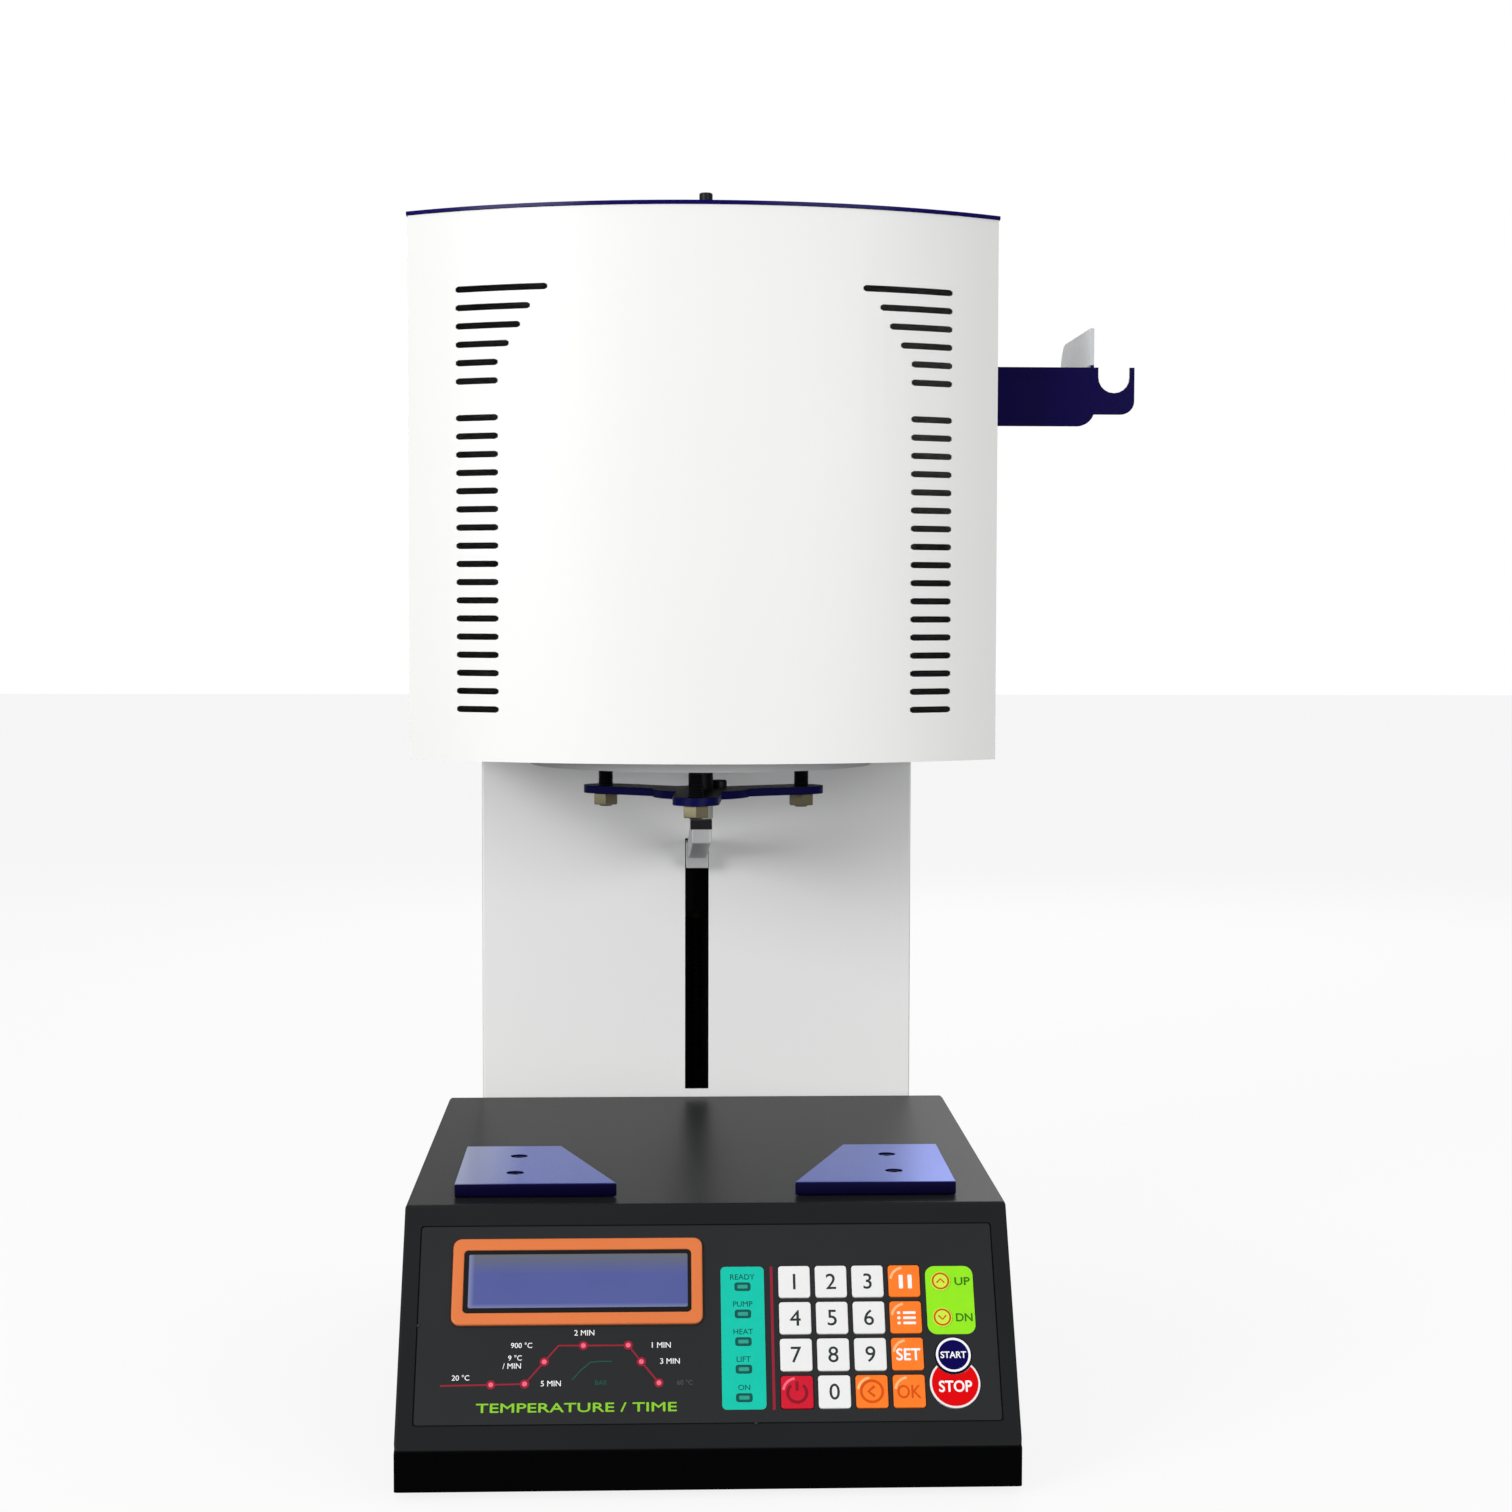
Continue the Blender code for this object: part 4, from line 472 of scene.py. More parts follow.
# Orange ABS, injection moulded: an even satin colour with a trace of texture.
orange_abs = surface(
    "moulded_orange_abs", "#D8733C", "#DC7942", 0.6, 0.006, 0.38, Specular_IOR_Level=0.3
)
bezel = banded_frame([
    (122.6, 43.9, 4.3, 0.4), (122.6, 43.9, 4.3, 1.3), (122.0, 43.3, 4.1, 1.75),
    (120.8, 42.1, 3.6, 2.0), (113.6, 33.9, 2.6, 2.0), (112.0, 32.3, 2.2, 1.8),
    (111.4, 31.7, 2.0, 1.3), (111.4, 31.7, 2.0, 0.4),
])
moulding = add_piece("bezel_moulding", bezel, orange_abs, "furnace")
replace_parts(moulding, "display_bezel")
# A thin matt black ring round the bezel is painted shadow at its edge, showing as a thin dark
# line.
shadow_black = surface("black_painted_shadow", "#0B0B0C", "#131314", 0.5, 0.05, 0.8)
shadow_ring_mesh = banded_frame([
    (124.0, 45.3, 4.9, 0.1), (124.0, 45.3, 4.9, 0.4),
    (113.0, 33.0, 2.0, 0.4), (113.0, 33.0, 2.0, 0.1),
])
add_piece("bezel_painted_shadow_ring", shadow_ring_mesh, shadow_black, "furnace")
# The display's black mask is printed on the glass and sunk in the bezel.
mask = banded_frame([
    (111.6, 31.9, 1.9, 1.2), (111.6, 31.9, 1.9, 1.4),
    (107.4, 27.3, 0.8, 1.4, 0.3, 0.3), (107.4, 27.3, 0.8, 1.2, 0.3, 0.3),
])
mask_ink = ink("black_mask_ink", "#0A0708", "#0D090A", 0.6)
add_piece("display_mask", mask, mask_ink, "furnace")

WINDOW_LOW = Vector((-117.2, 69.6, 1.2))
WINDOW_HIGH = Vector((-9.8, 96.9, 1.2))


def display_film():
    """Blue film under glass, with painted shade along its top edge and painted reflections at its
    left and lower edges.
    """
    material = new_material("blue_display_film_with_painted_shade_and_reflections")
    place = object_place(material)
    low, high = SLOPE @ WINDOW_LOW, SLOPE @ WINDOW_HIGH
    tone = blend_of(material, noise(material, place, 30), colour("#464F90"), colour("#4E5898"))
    # The greyer top band is painted shade under the bezel; the paler left and lower bands are
    # painted reflections.
    for axis, edge, reach, tint in (
        ("Z", high.z, -8.5, "#5E626A"), ("X", low.x, 3.0, "#7A82AC"), ("Z", low.z, 1.8, "#7078A4"),
    ):
        along = axis_of(material, place, axis)
        share = ramp(material, along, edge, edge + reach * MM, 1.0, 0.0)
        tone = blend_of(material, share, tone, colour(tint))
    grains = noise(material, place, 0.6)
    return close_surface(
        material, tone, grains, 0.001, 0.16, 0.03, Coat_Weight=0.4, Coat_Roughness=0.05
    )


dress(display_film(), "display_module")

# Keys
# Moulded keys stand 0.6 mm out of the panel, with rounded edges and printed signs. Each moves
# straight into the panel by 0.5 mm.
KEY_TOP = 0.7
KEY_LOW = -2.0
KEY_X, KEY_S, PITCH_X, PITCH_S = 42.6, 82.0, 18.07, 18.4
KEY_ROWS = (
    ("1", "2", "3", "idle"),
    ("4", "5", "6", "program"),
    ("7", "8", "9", "set"),
    ("power", "0", "back", "ok"),
)


def key_finish(name, tint, shade, roughness=0.34, shine=0.25):
    """Silicone-coated polycarbonate, moulded: an even, slightly soft shine."""
    return surface(
        name, tint, shade, 0.5, 0.004, roughness, 0.03, patch=10, Specular_IOR_Level=shine
    )


white_cap = key_finish("moulded_white_key", "#E4E4E3", "#E9E9E9")
orange_cap = key_finish("moulded_orange_key", "#F9731B", "#FC8128")
red_cap = key_finish("moulded_crimson_key", "#D4102E", "#C20C2A")
digit_ink = ink("dark_slate_key_ink", "#26302F", "#2E3837")
burnt_ink = ink("burnt_orange_key_ink", "#CF4A05", "#D75208")
wine_ink = ink("wine_red_key_ink", "#7E0A1E", "#8A0C22")
# The pale arcs on the coloured keys are painted highlights, laid on as ink.
orange_highlight_ink = ink("orange_key_painted_highlight", "#FFB27A", "#FFBE8C")
red_highlight_ink = ink("red_key_painted_highlight", "#F0627A", "#F47088")


def sign_of(name, centre):
    """The sign printed on a key, as a mesh with its ink."""
    x, s = centre
    sign = bmesh.new()
    if name.isdigit():
        add_words(sign, name, 7.8, centre, KEY_TOP, bold=0.06)
        return sign, digit_ink
    if name == "idle":
        for side in (-1, 1):
            add_slab(sign, 2.0, 7.0, 0.4, KEY_TOP, KEY_TOP + INK, (x + 2.2 * side + 0.6, s - 0.4))
        return sign, white_ink
    if name == "program":
        for step in (-1, 0, 1):
            add_slab(sign, 6.2, 1.3, 0.3, KEY_TOP, KEY_TOP + INK, (x + 1.8, s - 0.4 + 2.6 * step))
            add_slab(sign, 1.5, 1.3, 0.3, KEY_TOP, KEY_TOP + INK, (x - 3.4, s - 0.4 + 2.6 * step))
        return sign, white_ink
    if name == "set":
        add_words(sign, "SET", 5.8, (x + 0.4, s - 0.3), KEY_TOP, 11.6, 0.16)
        return sign, white_ink
    if name == "ok":
        add_words(sign, "OK", 6.4, (x, s - 0.3), KEY_TOP, 11.4, 0.12)
        return sign, burnt_ink
    if name == "back":
        add_line(sign, arc((x, s), 5.2, 0, 360, 40)[:-1], 1.3, KEY_TOP, closed=True)
        add_line(sign, [(x + 1.3, s + 2.5), (x - 1.7, s), (x + 1.3, s - 2.5)], 1.4, KEY_TOP)
        return sign, burnt_ink
    add_line(sign, arc((x, s - 0.4), 4.6, 128, 412, 30), 1.5, KEY_TOP)
    add_line(sign, [(x, s + 0.6), (x, s + 5.2)], 1.5, KEY_TOP)
    return sign, wine_ink


for row, names in enumerate(KEY_ROWS):
    for column, name in enumerate(names):
        centre = (KEY_X + column * PITCH_X, KEY_S - row * PITCH_S)
        body = "key_" + name
        cap = bmesh.new()
        add_slab(cap, 15.6, 16.2, 1.5, KEY_LOW, KEY_TOP, centre, edge=0.45)
        finish, slot_name = orange_cap, "key_orange"
        if name.isdigit():
            finish, slot_name = white_cap, "key_white"
        if name == "power":
            finish, slot_name = red_cap, "key_red"
        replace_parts(add_piece(f"{body}_cap", cap, finish, body), body)
        sign, sign_ink = sign_of(name, centre)
        add_piece(f"{body}_sign", sign, sign_ink, body)
        if not name.isdigit():
            # A pale arc at the key's upper left is a painted highlight.
            gleam = bmesh.new()
            corner = (centre[0] - 0.2, centre[1] + 0.2)
            add_line(gleam, arc(corner, 6.5, 98, 172, 12), 1.2, KEY_TOP)
            glint = red_highlight_ink if name == "power" else orange_highlight_ink
            add_piece(f"{body}_gleam", gleam, glint, body)

# Arrow, start and stop keys
# Round keys of the same make. The arrow keys have a printed ring and arrow. Start and stop
# have a white rim, and the start key's round edge bites into the stop key.
lime_cap = key_finish("moulded_lime_key", "#C6E23C", "#D2EA48")
navy_cap = key_finish("moulded_navy_key", "#0A034C", "#0D0654", 0.28, 0.05)
red_field = key_finish("moulded_red_key", "#DE0209", "#D60106", 0.30, 0.08)
ring_ink = ink("amber_key_ink", "#B8560C", "#C4620F")

ARROW_X = 114.8
for name, s, turn in (("key_up", 81.8, 1), ("key_down", 63.4, -1)):
    centre = (ARROW_X, s)
    cap = bmesh.new()
    add_disc(cap, 4.9, KEY_LOW, KEY_TOP, centre, 0.3)
    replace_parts(add_piece(f"{name}_cap", cap, lime_cap, name), name)
    sign = bmesh.new()
    add_line(sign, arc(centre, 3.9, 0, 360, 36)[:-1], 0.9, KEY_TOP, closed=True)
    tip, foot = s + 1.1 * turn, s - 0.9 * turn
    add_line(sign, [(ARROW_X - 1.9, foot), (ARROW_X, tip), (ARROW_X + 1.9, foot)], 0.8, KEY_TOP)
    add_piece(f"{name}_sign", sign, ring_ink, name)

START_AT, STOP_AT, STOP_WORD_AT = (119.1, 44.5), (119.2, 30.5), (119.3, 28.9)


def round_key(name, rim, words, height, width, centre, cap_finish, ground):
    """A key made from the merged solid, with a printed word and, where asked for, a white rim."""
    cap = bmesh.new()
    cap.from_mesh(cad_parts[name].data)
    bmesh.ops.transform(cap, matrix=SLOPE.inverted(), verts=cap.verts)
    bmesh.ops.remove_doubles(cap, verts=cap.verts, dist=0.02)
    bmesh.ops.dissolve_limit(cap, angle_limit=radians(1), verts=cap.verts, edges=cap.edges)
    crown = max(v.co.z for v in cap.verts)
    bevel_edges(cap, rim_edges(cap, crown), 0.3, 2)
    if rim:
        top = max(cap.faces, key=lambda f: f.calc_center_median().z)
        inset = bmesh.ops.inset_region(cap, faces=[top], thickness=rim, use_even_offset=True)
        for face in inset["faces"]:
            face.material_index = 1
    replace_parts(add_piece(f"{name}_cap", cap, [cap_finish, white_ink], name), name)
    sign = bmesh.new()
    add_words(sign, words, height, centre, ground, width, 0.03 * height)
    add_piece(f"{name}_sign", sign, white_ink, name)


round_key("key_start", 1.1, "START", 3.2, 12.4, START_AT, navy_cap, KEY_TOP)
round_key("key_stop", 0, "STOP", 5.4, 15.8, STOP_WORD_AT, white_cap, KEY_TOP + INK)

# The stop key's red field is printed inside its rim, up to the start key's round edge.
FIELD_RADIUS, BITE_RADIUS = 11.3, 9.9
apart = START_AT[1] - STOP_AT[1]
along = (apart ** 2 + FIELD_RADIUS ** 2 - BITE_RADIUS ** 2) / (2 * apart)
reach = sqrt(FIELD_RADIUS ** 2 - along ** 2)
half, bite = degrees(atan2(reach, along)), degrees(atan2(reach, apart - along))
outline = arc(STOP_AT, FIELD_RADIUS, 90 + half, 450 - half, 48)
outline += arc(START_AT, BITE_RADIUS, 270 + bite, 270 - bite, 20)[1:-1]
field = bmesh.new()
face = field.faces.new([field.verts.new((x, s, KEY_TOP - HAIR)) for x, s in outline])
raised = bmesh.ops.extrude_face_region(field, geom=[face])["geom"]
raised = [g for g in raised if isinstance(g, bmesh.types.BMVert)]
bmesh.ops.translate(field, vec=(0, 0, INK), verts=raised)
add_piece("key_stop_field", field, red_field, "key_stop")

# Keypad board
# A printed circuit board of glass fibre and epoxy carries the contacts behind the keys. It
# lies under the panel, and is seen in an opened console only.

# Green solder mask over glass fibre: glossy, with the weave of about 1.5 mm just showing.
solder_mask = surface("green_solder_mask", "#0E3A1C", "#124824", 1.5, 0.01, 0.25)
dress(solder_mask, "keypad_board")

# Cooling plates
# Two thick steel plates in glossy navy enamel, for hot work. Each is held by two socket
# screws sunk in counterbores.

# Navy stoved enamel: a deep, glossy coat that mirrors the column at a flat angle.
navy_coat = surface(
    "navy_gloss_enamel", "#0A0052", "#0D015C", 1.5, 0.006, 0.22, 0.03, patch=80,
    Specular_IOR_Level=0.1,
)


def plate_finish():
    """Navy enamel, dark on the edges, with a paler blue painted reflection on its upper face."""
    material = new_material("navy_enamel_with_painted_reflection")
    place = object_place(material)
    low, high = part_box("cooling_plate_left")
    height = axis_of(material, place, "Z")
    share = ramp(material, height, high.z - 0.4 * MM, high.z - 0.1 * MM)
    # The upper face's pale blue is painted reflection on the glossy navy enamel.
    face = blend_of(material, noise(material, place, 50), colour("#3C5AC2"), colour("#4864CC"))
    # The left plate's outer end gets a still paler painted reflection.
    left_end_reflection = ramp(material, axis_of(material, place, "X"), low.x, low.x + 32 * MM, 0.75, 0.0)
    face = blend_of(material, left_end_reflection, face, colour("#C6CDEB"))
    tone = blend_of(material, share, colour("#06003A"), face)
    grains = noise(material, place, 1.5)
    return close_surface(material, tone, grains, 0.004, 0.30, 0.04, Metallic=0.75)


dress(plate_finish(), "cooling_plate_left", "cooling_plate_right")


def turned(profile, centre=(0, 0), steps=24, closed=False):
    """An outline of radius and height, turned round an upright axis."""
    work = bmesh.new()
    points = [work.verts.new((r, 0, z)) for r, z in profile]
    ends = points[1:] + points[:1] if closed else points[1:]
    edges = [work.edges.new(pair) for pair in zip(points, ends)]
    bmesh.ops.spin(
        work, geom=points + edges, axis=(0, 0, 1), cent=(0, 0, 0), angle=2 * pi, steps=steps,
        use_merge=True,
    )
    bmesh.ops.transform(work, matrix=Matrix.Translation((*centre, 0)), verts=work.verts)
    return work


def add_socket_screw(work, place, radius, height, flats, depth):
    """A socket-head screw: a turned head with a hexagon socket, its foot at the place."""
    rim = 0.14 * radius
    shoulder = [(radius, 0), (radius, height - rim), (radius - rim, height)]
    head = turned([(0, 0), *shoulder, (0.66 * flats, height)])
    bmesh.ops.remove_doubles(head, verts=head.verts, dist=HAIR)
    for drop in (0, depth):
        brink = [e for e in head.edges if e.is_boundary]
        made = bmesh.ops.extrude_edge_only(head, edges=brink)["geom"]
        for vert in [g for g in made if isinstance(g, bmesh.types.BMVert)]:
            turn = atan2(vert.co.y, vert.co.x) % (pi / 3) - pi / 6
            vert.co.xy = vert.co.xy.normalized() * (flats / 2 / cos(turn))
            vert.co.z -= drop
    bmesh.ops.holes_fill(head, edges=[e for e in head.edges if e.is_boundary], sides=0)
    bmesh.ops.recalc_face_normals(head, faces=head.faces)
    add_to(work, head, place)


# Black oxide on alloy steel: nearly black, with a dry dull shine.
black_oxide = surface(
    "black_oxide_steel", "#1B1B1D", "#26262A", 0.6, 0.01, 0.45, 0.08, Metallic=0.8
)
PLATE_SCREW_X, PLATE_SCREW_ROWS, PLATE_SCREW_Z = 97.5, (109.7, 151.7), 129.65
screws = bmesh.new()
for side in (-1, 1):
    for y in PLATE_SCREW_ROWS:
        seat = Matrix.Translation((PLATE_SCREW_X * side, y, PLATE_SCREW_Z))
        add_socket_screw(screws, seat, radius=4.3, height=3.6, flats=4.0, depth=2.2)
add_piece("plate_screws", screws, black_oxide, "furnace", BENCH)

# Column
# The column is a folded sheet steel cover with a slot for the lift arm, closed by a screwed
# rear panel. Both are powder coated white.

# White powder coat: satin, with an orange peel of about 1 mm.
white_coat = surface(
    "white_powder_coat", "#F0F0EF", "#F4F4F3", 1.0, 0.010, 0.42, patch=150,
    Specular_IOR_Level=0.3,
)
dress(white_coat, "column_cover", "rear_panel")

# Zinc-plated pan-head screws hold the rear panel to the cover's folds.
zinc = surface(
    "bright_zinc_plate", "#C3C5C6", "#AEB2B5", 0.4, 0.01, 0.28, 0.08, patch=3, Metallic=1.0
)
BACKWARDS = Matrix.Rotation(-pi / 2, 4, "X")
REAR_FACE, REAR_SCREW_X, REAR_SCREW_HEIGHTS = 484.3, 118, (20, 160, 300, 440, 612)
rear_screws = bmesh.new()
for side in (-1, 1):
    for z in REAR_SCREW_HEIGHTS:
        seat = Matrix.Translation((REAR_SCREW_X * side, REAR_FACE, z)) @ BACKWARDS
        add_socket_screw(rear_screws, seat, radius=3.2, height=2.0, flats=2.5, depth=1.3)
add_piece("rear_panel_screws", rear_screws, zinc, "furnace", BENCH)

# Muffle housing
# A white sheet steel hood with a bowed front, open at its back against the column, with
# punched cooling slots.
dress(white_coat, "muffle_housing")

# Top cover
# A navy sheet closes the hood and stands out over its edge by less than a millimetre. One
# socket screw holds it at the front.
dress(navy_coat, "top_cover")
COVER_SCREW_AT = (0, 114.9, 629.4)
cover_screw = bmesh.new()
seat = Matrix.Translation(COVER_SCREW_AT)
add_socket_screw(cover_screw, seat, radius=3.4, height=4.4, flats=3.0, depth=2.4)
screw_piece = add_piece("cover_screw", cover_screw, black_oxide, "furnace", BENCH)
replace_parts(screw_piece, "top_cover_screw")

# Firing chamber
# A spun aluminium pot holds a liner of pressed ceramic fibre, a ceramic muffle with its
# heating coil and a thermocouple from above. The hood's aluminium floor carries them.

# Milled and spun aluminium: bright, with turning marks of about 0.8 mm.
aluminium = surface(
    "turned_aluminium", "#BFC1C4", "#AEB1B5", 0.8, 0.01, 0.34, 0.08, patch=25, stretch=(1, 1, 0.3),
    Metallic=1.0,
)
dress(aluminium, "muffle_floor", "vacuum_pot")
# Vacuum-formed ceramic fibre: chalky cream with a soft felted surface of 1.5 mm tufts.
fibre = surface("vacuum_formed_ceramic_fibre", "#E9E4D6", "#DAD3C2", 1.5, 0.25, 0.92, patch=12)
dress(fibre, "insulation_liner")
# Fired cordierite: sandy, matt and pitted by grains of about 0.7 mm.
ceramic = surface("fired_cordierite", "#CDBFA8", "#BFAF95", 0.7, 0.08, 0.75, patch=8)
dress(ceramic, "heating_muffle", "firing_table")
# Sheathed probe of heat-tinted steel.
probe_steel = surface(
    "heat_tinted_steel", "#8F8478", "#6F6A72", 0.6, 0.01, 0.35, patch=6, Metallic=1.0
)
dress(probe_steel, "thermocouple")

CHAMBER_Y = 235.0
COIL_TURNS, COIL_STEPS, COIL_RADIUS, COIL_LOW, COIL_PITCH = 12, 32, 45.6, 366.0, 6.5
helix = []
for i in range(COIL_TURNS * COIL_STEPS + 1):
    turn = 2 * pi * i / COIL_STEPS
    height = COIL_LOW + COIL_PITCH * i / COIL_STEPS
    helix.append((COIL_RADIUS * cos(turn), CHAMBER_Y + COIL_RADIUS * sin(turn), height))
coil = bmesh.new()
add_wire(coil, helix, 0.7, roundness=1)
# Oxidised resistance wire, dull grey-brown.
coil_wire = surface("oxidised_resistance_wire", "#5A534C", "#484340", 0.4, 0.01, 0.6, Metallic=0.7)
add_piece("heating_coil", coil, coil_wire, "furnace", BENCH)

# Tong holder
# A bracket of navy-coated sheet steel, bent up at its outer side as a fence, with a hook at
# its end for the tongs.
FENCE_LOW = 555.0


def holder_finish():
    """Navy coat on the bracket, and a pale grey painted reflection on the fence above it."""
    material = new_material("navy_enamel_and_painted_fence_reflection")
    place = object_place(material)
    share = ramp(material, axis_of(material, place, "Z"), FENCE_LOW * MM, (FENCE_LOW + 0.6) * MM)
    # The fence is navy coated too; its pale grey is painted reflection at a flat angle.
    fence_reflection = blend_of(material, noise(material, place, 9), colour("#C4C7CB"), colour("#D2D4D7"))
    coat = blend_of(material, noise(material, place, 80), colour("#06003A"), colour("#080042"))
    tone = blend_of(material, share, coat, fence_reflection)
    grains = noise(material, place, 1.5)
    return close_surface(material, tone, grains, 0.006, 0.24, 0.03, Specular_IOR_Level=0.04)


dress(holder_finish(), "tong_holder")

# Lift platform
# A turned aluminium disc closes the chamber on a silicone ring and carries the firing table.
# It stands on a tripod plate on three black studs with nuts.

# Turned aluminium, given an even, chalky pale grey: its own grey and a painted reflection of the
# bright surroundings.
disc_grey_and_reflection = surface("aluminium_grey_with_painted_reflection", "#D4D5D6", "#DBDCDC", 0.8, 0.01, 0.55, patch=25)
dress(disc_grey_and_reflection, "platform_disc")

# Red silicone ring, squeezed a little flat.
silicone = surface("red_silicone", "#9C3A26", "#A8442E", 0.8, 0.01, 0.55)
RING_RADIUS, RING_HEIGHT, RING_HALF_WIDTH, RING_HALF_HEIGHT = 80, 344.55, 1.4, 0.6
ring_profile = []
for i in range(10):
    width, rise = RING_HALF_WIDTH * cos(i * pi / 5), RING_HALF_HEIGHT * sin(i * pi / 5)
    ring_profile.append((RING_RADIUS + width, RING_HEIGHT + rise))
seal_ring = turned(ring_profile, (0, CHAMBER_Y), steps=64, closed=True)
add_piece("seal_ring", seal_ring, silicone, "lift", BENCH)

TRIPOD_TOP = 323.4


def tripod_finish():
    """Navy coat on the plate with a near-black painted reflection on its upper face, and a boss
    that is black above it and bare below.
    """
    material = new_material("navy_coat_painted_dark_top_and_blackened_boss")
    place = object_place(material)
    hub = BENCH @ Vector((0, CHAMBER_Y, 0))
    x, y, height = (axis_of(material, place, axis) for axis in "XYZ")
    flat = add_node(material, "ShaderNodeCombineXYZ", {"X": x, "Y": y}).outputs[0]
    reach = add_node(
        material, "ShaderNodeVectorMath", {0: flat, 1: (hub.x, hub.y, 0)}, operation="DISTANCE"
    ).outputs["Value"]
    share = ramp(material, reach, 7.0 * MM, 7.3 * MM)
    top = (BENCH @ Vector((0, 0, TRIPOD_TOP))).z
    face = ramp(material, height, top - 0.3 * MM, top - 0.1 * MM)
    above = ramp(material, height, top - 4.6 * MM, top - 4.4 * MM)
    coat = blend_of(material, noise(material, place, 30), colour("#0A0A46"), colour("#0E0E52"))
    # The plate's upper face is painted near-black as a painted dark reflection.
    coat = blend_of(material, face, coat, colour("#0D0E12"))
    boss = blend_of(material, above, colour("#B9B8AF"), colour("#111112"))
    tone = blend_of(material, share, boss, coat)
    grains = noise(material, place, 1.2)
    return close_surface(material, tone, grains, 0.01, 0.36, 0.05, Specular_IOR_Level=0.06)


dress(tripod_finish(), "tripod_plate")

# Yellow-passivated steel nuts: olive bronze with a dull shine.
passivated = surface(
    "yellow_passivated_steel", "#8A8468", "#77715A", 0.8, 0.01, 0.38, 0.08, patch=5, Metallic=0.9
)
NUT_LOW, NUT_HIGH, NUT_FLATS = 312.2, 318.7, 13.0
THREAD, THREAD_CREST, THREAD_ROOT, THREAD_END = 1.25, 4.2, 3.8, 0.8
for side in ("front", "left", "right"):
    name = "platform_stud_" + side
    low, high = (BENCH.inverted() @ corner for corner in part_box(name))
    centre = (low.xy + high.xy) / 2
    profile = [(0, low.z), (3.3, low.z)]
    for i in range(int((high.z - low.z - 2 * THREAD_END) / THREAD)):
        crest = low.z + THREAD_END + THREAD * i
        profile += [(THREAD_CREST, crest), (THREAD_ROOT, crest + THREAD / 2)]
    profile += [(THREAD_CREST, high.z - THREAD_END), (3.4, high.z), (0, high.z)]
    stud = turned(profile, centre)
    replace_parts(add_piece(f"stud_{side}", stud, black_oxide, "lift", BENCH), name)
    nut = bmesh.new()
    add_disc(nut, NUT_FLATS / 2 / cos(pi / 6), NUT_LOW, NUT_HIGH, centre, steps=6)
    bevel_edges(nut, rim_edges(nut, NUT_LOW) + rim_edges(nut, NUT_HIGH), 0.6, 2)
    add_piece(f"stud_nut_{side}", nut, passivated, "lift", BENCH)

HUB_SCREW_AT = (10.3, 246.0, TRIPOD_TOP)
hub_screw = bmesh.new()
seat = Matrix.Translation(HUB_SCREW_AT)
add_socket_screw(hub_screw, seat, radius=4.4, height=4.2, flats=3.0, depth=1.8)
add_piece("hub_screw", hub_screw, black_oxide, "lift", BENCH)

# Lift arm and carriage
# The arm is a milled bar of blasted steel, with a thin black band over its head as painted shadow
# under the nut in front of it. It runs through the slot to an aluminium carriage with a bronze
# nut, which slides on two ground rods.

# Ground steel: silvery, with fine grinding marks of 0.6 mm.
bright_steel = surface(
    "ground_steel", "#C9CACB", "#B5B7B9", 0.6, 0.01, 0.30, 0.08, patch=20, stretch=(1, 0.15, 1),
    Metallic=1.0,
)
dress(bright_steel, "guide_rod_left", "guide_rod_right")
# Blasted and clear-coated steel: pale grey, with a soft shine from every side.
arm_steel = surface(
    "blasted_steel", "#C4C5C4", "#B4B6B7", 0.6, 0.01, 0.40, 0.06, patch=20, Metallic=0.3
)
dress(arm_steel, "lift_arm")
# Black anodised aluminium, darkened to a near pure black as painted shade inside the column's
# slot.
anodised_black_and_shade = surface(
    "anodised_aluminium_with_painted_shade", "#040404", "#060606", 0.5, 0.005, 0.5, Specular_IOR_Level=0.1
)
dress(anodised_black_and_shade, "lift_carriage")
# A thin black band over the arm's head is painted shadow under the nut in front of it.
arm_shadow_band = bmesh.new()
add_slab(arm_shadow_band, 11.9, 20.0, 0.4, 301.6, 306.65, (0, 231.6), 0.2, 2)
add_piece("arm_painted_shadow_band", arm_shadow_band, black_oxide, "lift", BENCH)
heel = bmesh.new()
add_slab(heel, 13.2, 22.0, 0.6, 267.9, 283.2, (0, 361.0), 0.4, 2)
add_piece("arm_heel", heel, arm_steel, "lift", BENCH)
# Cast bronze: golden brown, a little dull.
bronze = surface("cast_bronze", "#A98444", "#947238", 0.7, 0.01, 0.35, patch=6, Metallic=1.0)
dress(bronze, "vacuum_nozzle")
# Bronze, darkened nearly to black as painted shade inside the column's slot.
bronze_in_painted_shade = surface("bronze_in_painted_shade", "#2B2318", "#211B13", 0.7, 0.01, 0.5, patch=6, Metallic=0.8)
dress(bronze_in_painted_shade, "lift_nut")

# Lift drive
# A stepper motor turns the lead screw in a folded black frame, between two ground rods. The
# screw's thread is rolled, and the frame stands on the base pan.
SCREW_PITCH = 2 * MM
# Bands of scale 1 repeat 3.18 times in a metre.
WAVES_TO_THE_METRE = 3.18


def thread_finish():
    """A rolled thread with a 2 mm pitch, in blackened steel."""
    material = new_material("rolled_thread_steel")
    place = object_place(material)
    ridges = add_node(
        material, "ShaderNodeTexWave",
        {"Vector": place, "Scale": 1 / SCREW_PITCH / WAVES_TO_THE_METRE},
        wave_type="BANDS", bands_direction="Z",
    ).outputs["Fac"]
    tone = blend_of(material, ridges, colour("#151516"), colour("#2A2A2C"))
    return close_surface(material, tone, ridges, 0.4, 0.35, 0.08, Metallic=0.9)


dress(thread_finish(), "lead_screw")
# Black powder coat on the motor and frame; on the frame, seen through the slot, it is also painted
# shade for the inside of the column.
black_coat_and_slot_shade = surface("black_powder_coat_and_painted_shade", "#0F0F10", "#161617", 1.0, 0.02, 0.5)
dress(black_coat_and_slot_shade, "lift_frame", "lift_motor")

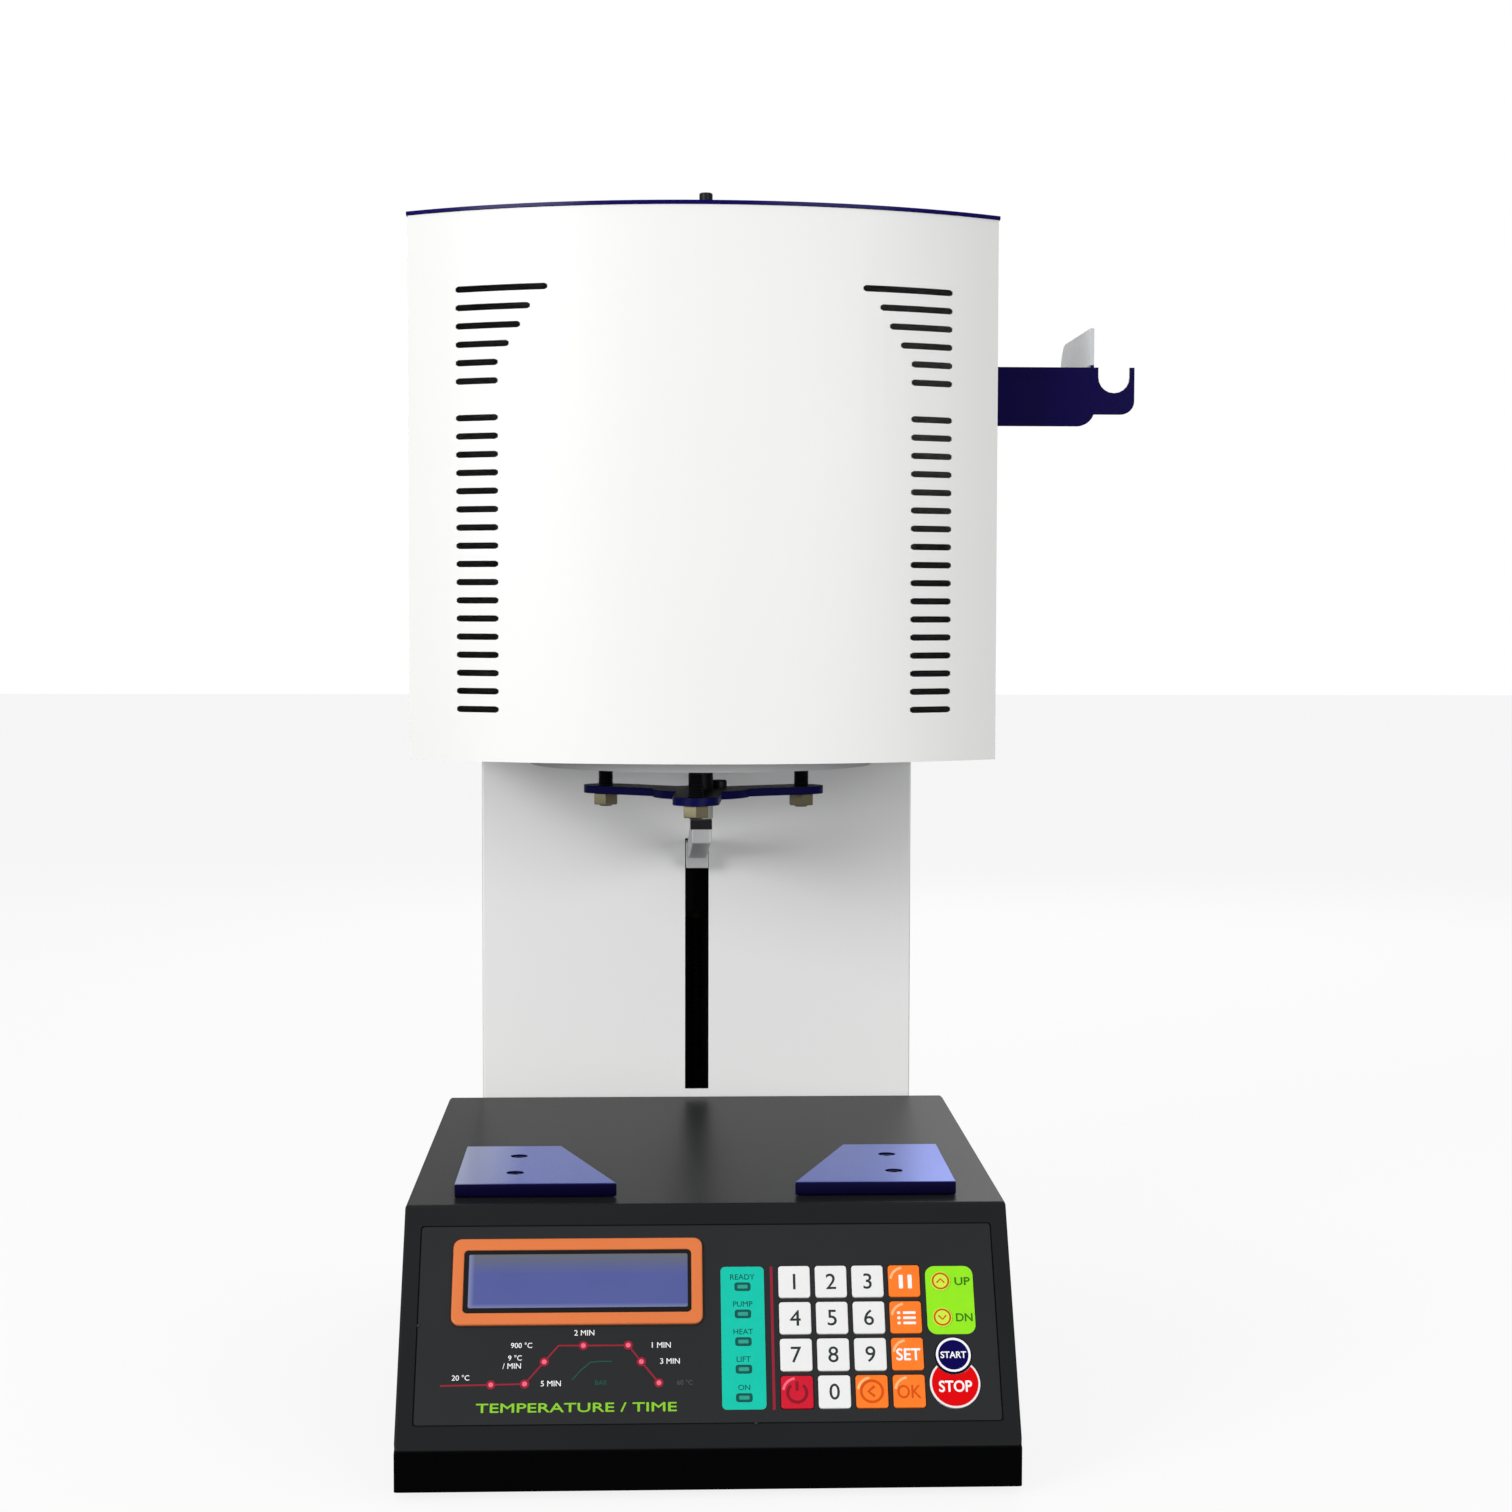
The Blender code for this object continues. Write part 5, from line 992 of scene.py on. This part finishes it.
# Rear fittings
# The mains inlet and rocker switch are moulded in black. The inlet's pins are nickel-plated and
# its flange has two screws. The switch is marked 1 and 0. No cord is plugged in.
dress(black_nylon, "mains_inlet", "mains_switch")

# Nickel plate on brass: pale, slightly warm and bright.
nickel = surface(
    "nickel_plate", "#CFCBC2", "#C0BCB3", 0.4, 0.005, 0.22, 0.06, patch=4, Metallic=1.0
)
INLET_X, SWITCH_X, FITTING_HEIGHT, PIN_DEPTH = 60.0, 20.0, 70.0, 19.0
inlet_face = (BENCH.inverted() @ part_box("mains_inlet")[1]).y
pins = bmesh.new()
for x, z in ((-7.0, -1.0), (0.0, 3.0), (7.0, -1.0)):
    pin = bmesh.new()
    add_slab(pin, 2.2, 4.2, 0.6, 0, 14.3, edge=0.4, segments=3)
    root = Matrix.Translation((INLET_X + x, inlet_face - PIN_DEPTH, FITTING_HEIGHT + z))
    add_to(pins, pin, root @ BACKWARDS)
add_piece("inlet_pins", pins, nickel, "furnace", BENCH)
flange_screws = bmesh.new()
for side in (-1, 1):
    seat = Matrix.Translation((INLET_X + 20.0 * side, inlet_face, FITTING_HEIGHT)) @ BACKWARDS
    add_socket_screw(flange_screws, seat, radius=2.8, height=1.6, flats=2.0, depth=1.0)
add_piece("inlet_screws", flange_screws, zinc, "furnace", BENCH)

ROCKER_AXIS = (SWITCH_X, inlet_face - 3.3, FITTING_HEIGHT)
ROCKER_TILT = radians(9)
rocker = Matrix.Translation(ROCKER_AXIS) @ Matrix.Rotation(-ROCKER_TILT, 4, "X")
facing_back = Matrix.Rotation(pi, 4, "Z") @ Matrix.Rotation(pi / 2, 4, "X")
marks = bmesh.new()
for words, side in (("1", 1), ("0", -1)):
    mark = bmesh.new()
    add_words(mark, words, 4.0, (0, 0), 0.0, bold=0.08)
    lean = Matrix.Rotation(-side * atan2(2.0, 9.0), 4, "X")
    add_to(marks, mark, rocker @ Matrix.Translation((0, 3.2, 4.5 * side)) @ lean @ facing_back)
add_piece("switch_marks", marks, white_ink, "mains_switch", BENCH)

# Floor, light and camera
# The furnace stands on a pale floor under broad soft lights, seen from the front. The board
# and the ground behind it are white, and four lights round the furnace model its sides.


def pale_floor():
    """A plain white board. It shows as lit from within, and throws little light back up."""
    material = new_material("pale_board")
    looked_at = add_node(material, "ShaderNodeLightPath").outputs["Is Camera Ray"]
    place = object_place(material)
    shade = blend_of(material, noise(material, place, 600), colour("#F2F2F2"), colour("#F6F6F6"))
    tone = blend_of(material, looked_at, colour("#6A6A6A"), shade)
    board = add_node(material, "ShaderNodeBsdfDiffuse", {"Color": tone})
    glow = add_node(material, "ShaderNodeEmission", {"Color": colour("#FFFFFF"), "Strength": 1.0})
    share = ramp(material, looked_at, 0.0, 1.0, 0.0, 0.85)
    mixed = add_node(
        material, "ShaderNodeMixShader", {0: share, 1: board.outputs[0], 2: glow.outputs[0]}
    )
    add_node(material, "ShaderNodeOutputMaterial", {"Surface": mixed.outputs[0]})
    return material


floor_mesh = bmesh.new()
bmesh.ops.create_grid(floor_mesh, x_segments=1, y_segments=1, size=12.0)
flat_floor = bpy.data.meshes.new("floor")
floor_mesh.to_mesh(flat_floor)
floor_mesh.free()
floor = bpy.data.objects.new("floor", flat_floor)
bpy.context.scene.collection.objects.link(floor)
flat_floor.materials.append(pale_floor())

world = bpy.data.worlds.new("studio")
bpy.context.scene.world = world
world.use_nodes = True
world.node_tree.nodes.clear()
seen = add_node(world, "ShaderNodeLightPath").outputs["Is Camera Ray"]
strength = ramp(world, seen, 0.0, 1.0, 0.50, 1.0)
sky = add_node(world, "ShaderNodeBackground", {"Color": colour("#FFFFFF"), "Strength": strength})
add_node(world, "ShaderNodeOutputWorld", {"Surface": sky.outputs[0]})

AIM = Vector((0, 0, 0.35))
for name, spot, size, power in (
    ("key_light", (-1.7, -1.8, 0.85), 1.1, 35),
    ("fill_light", (1.2, -2.15, 0.45), 1.2, 22),
    ("top_light", (0.0, 0.2, 2.3), 1.6, 6),
    ("rear_light", (0.4, 2.2, 1.4), 1.4, 12),
):
    lamp = bpy.data.lights.new(name, "AREA")
    lamp.size = size
    lamp.energy = power
    light = bpy.data.objects.new(name, lamp)
    light.location = spot
    light.rotation_euler = (Vector(spot) - AIM).to_track_quat("Z", "Y").to_euler()
    bpy.context.scene.collection.objects.link(light)

PITCH, YAW, ROLL = 0.0542, 0.0391, 0.0022
CAMERA_AT, FOCAL_LENGTH = (-0.06668, -1.50878, 0.42265), 63.84
forward = Vector((sin(YAW) * cos(PITCH), cos(YAW) * cos(PITCH), -sin(PITCH)))
right = Vector((cos(YAW), -sin(YAW), 0))
up = right.cross(forward)
level = cos(ROLL) * right + sin(ROLL) * up
upward = -sin(ROLL) * right + cos(ROLL) * up
lens = bpy.data.cameras.new("camera")
lens.lens = FOCAL_LENGTH
lens.sensor_width = 36.0
camera = bpy.data.objects.new("camera", lens)
looking = Matrix((level, upward, -forward)).transposed().to_4x4()
camera.matrix_world = Matrix.Translation(CAMERA_AT) @ looking
bpy.context.scene.collection.objects.link(camera)
bpy.context.scene.camera = camera
bpy.context.scene.view_settings.view_transform = "Standard"
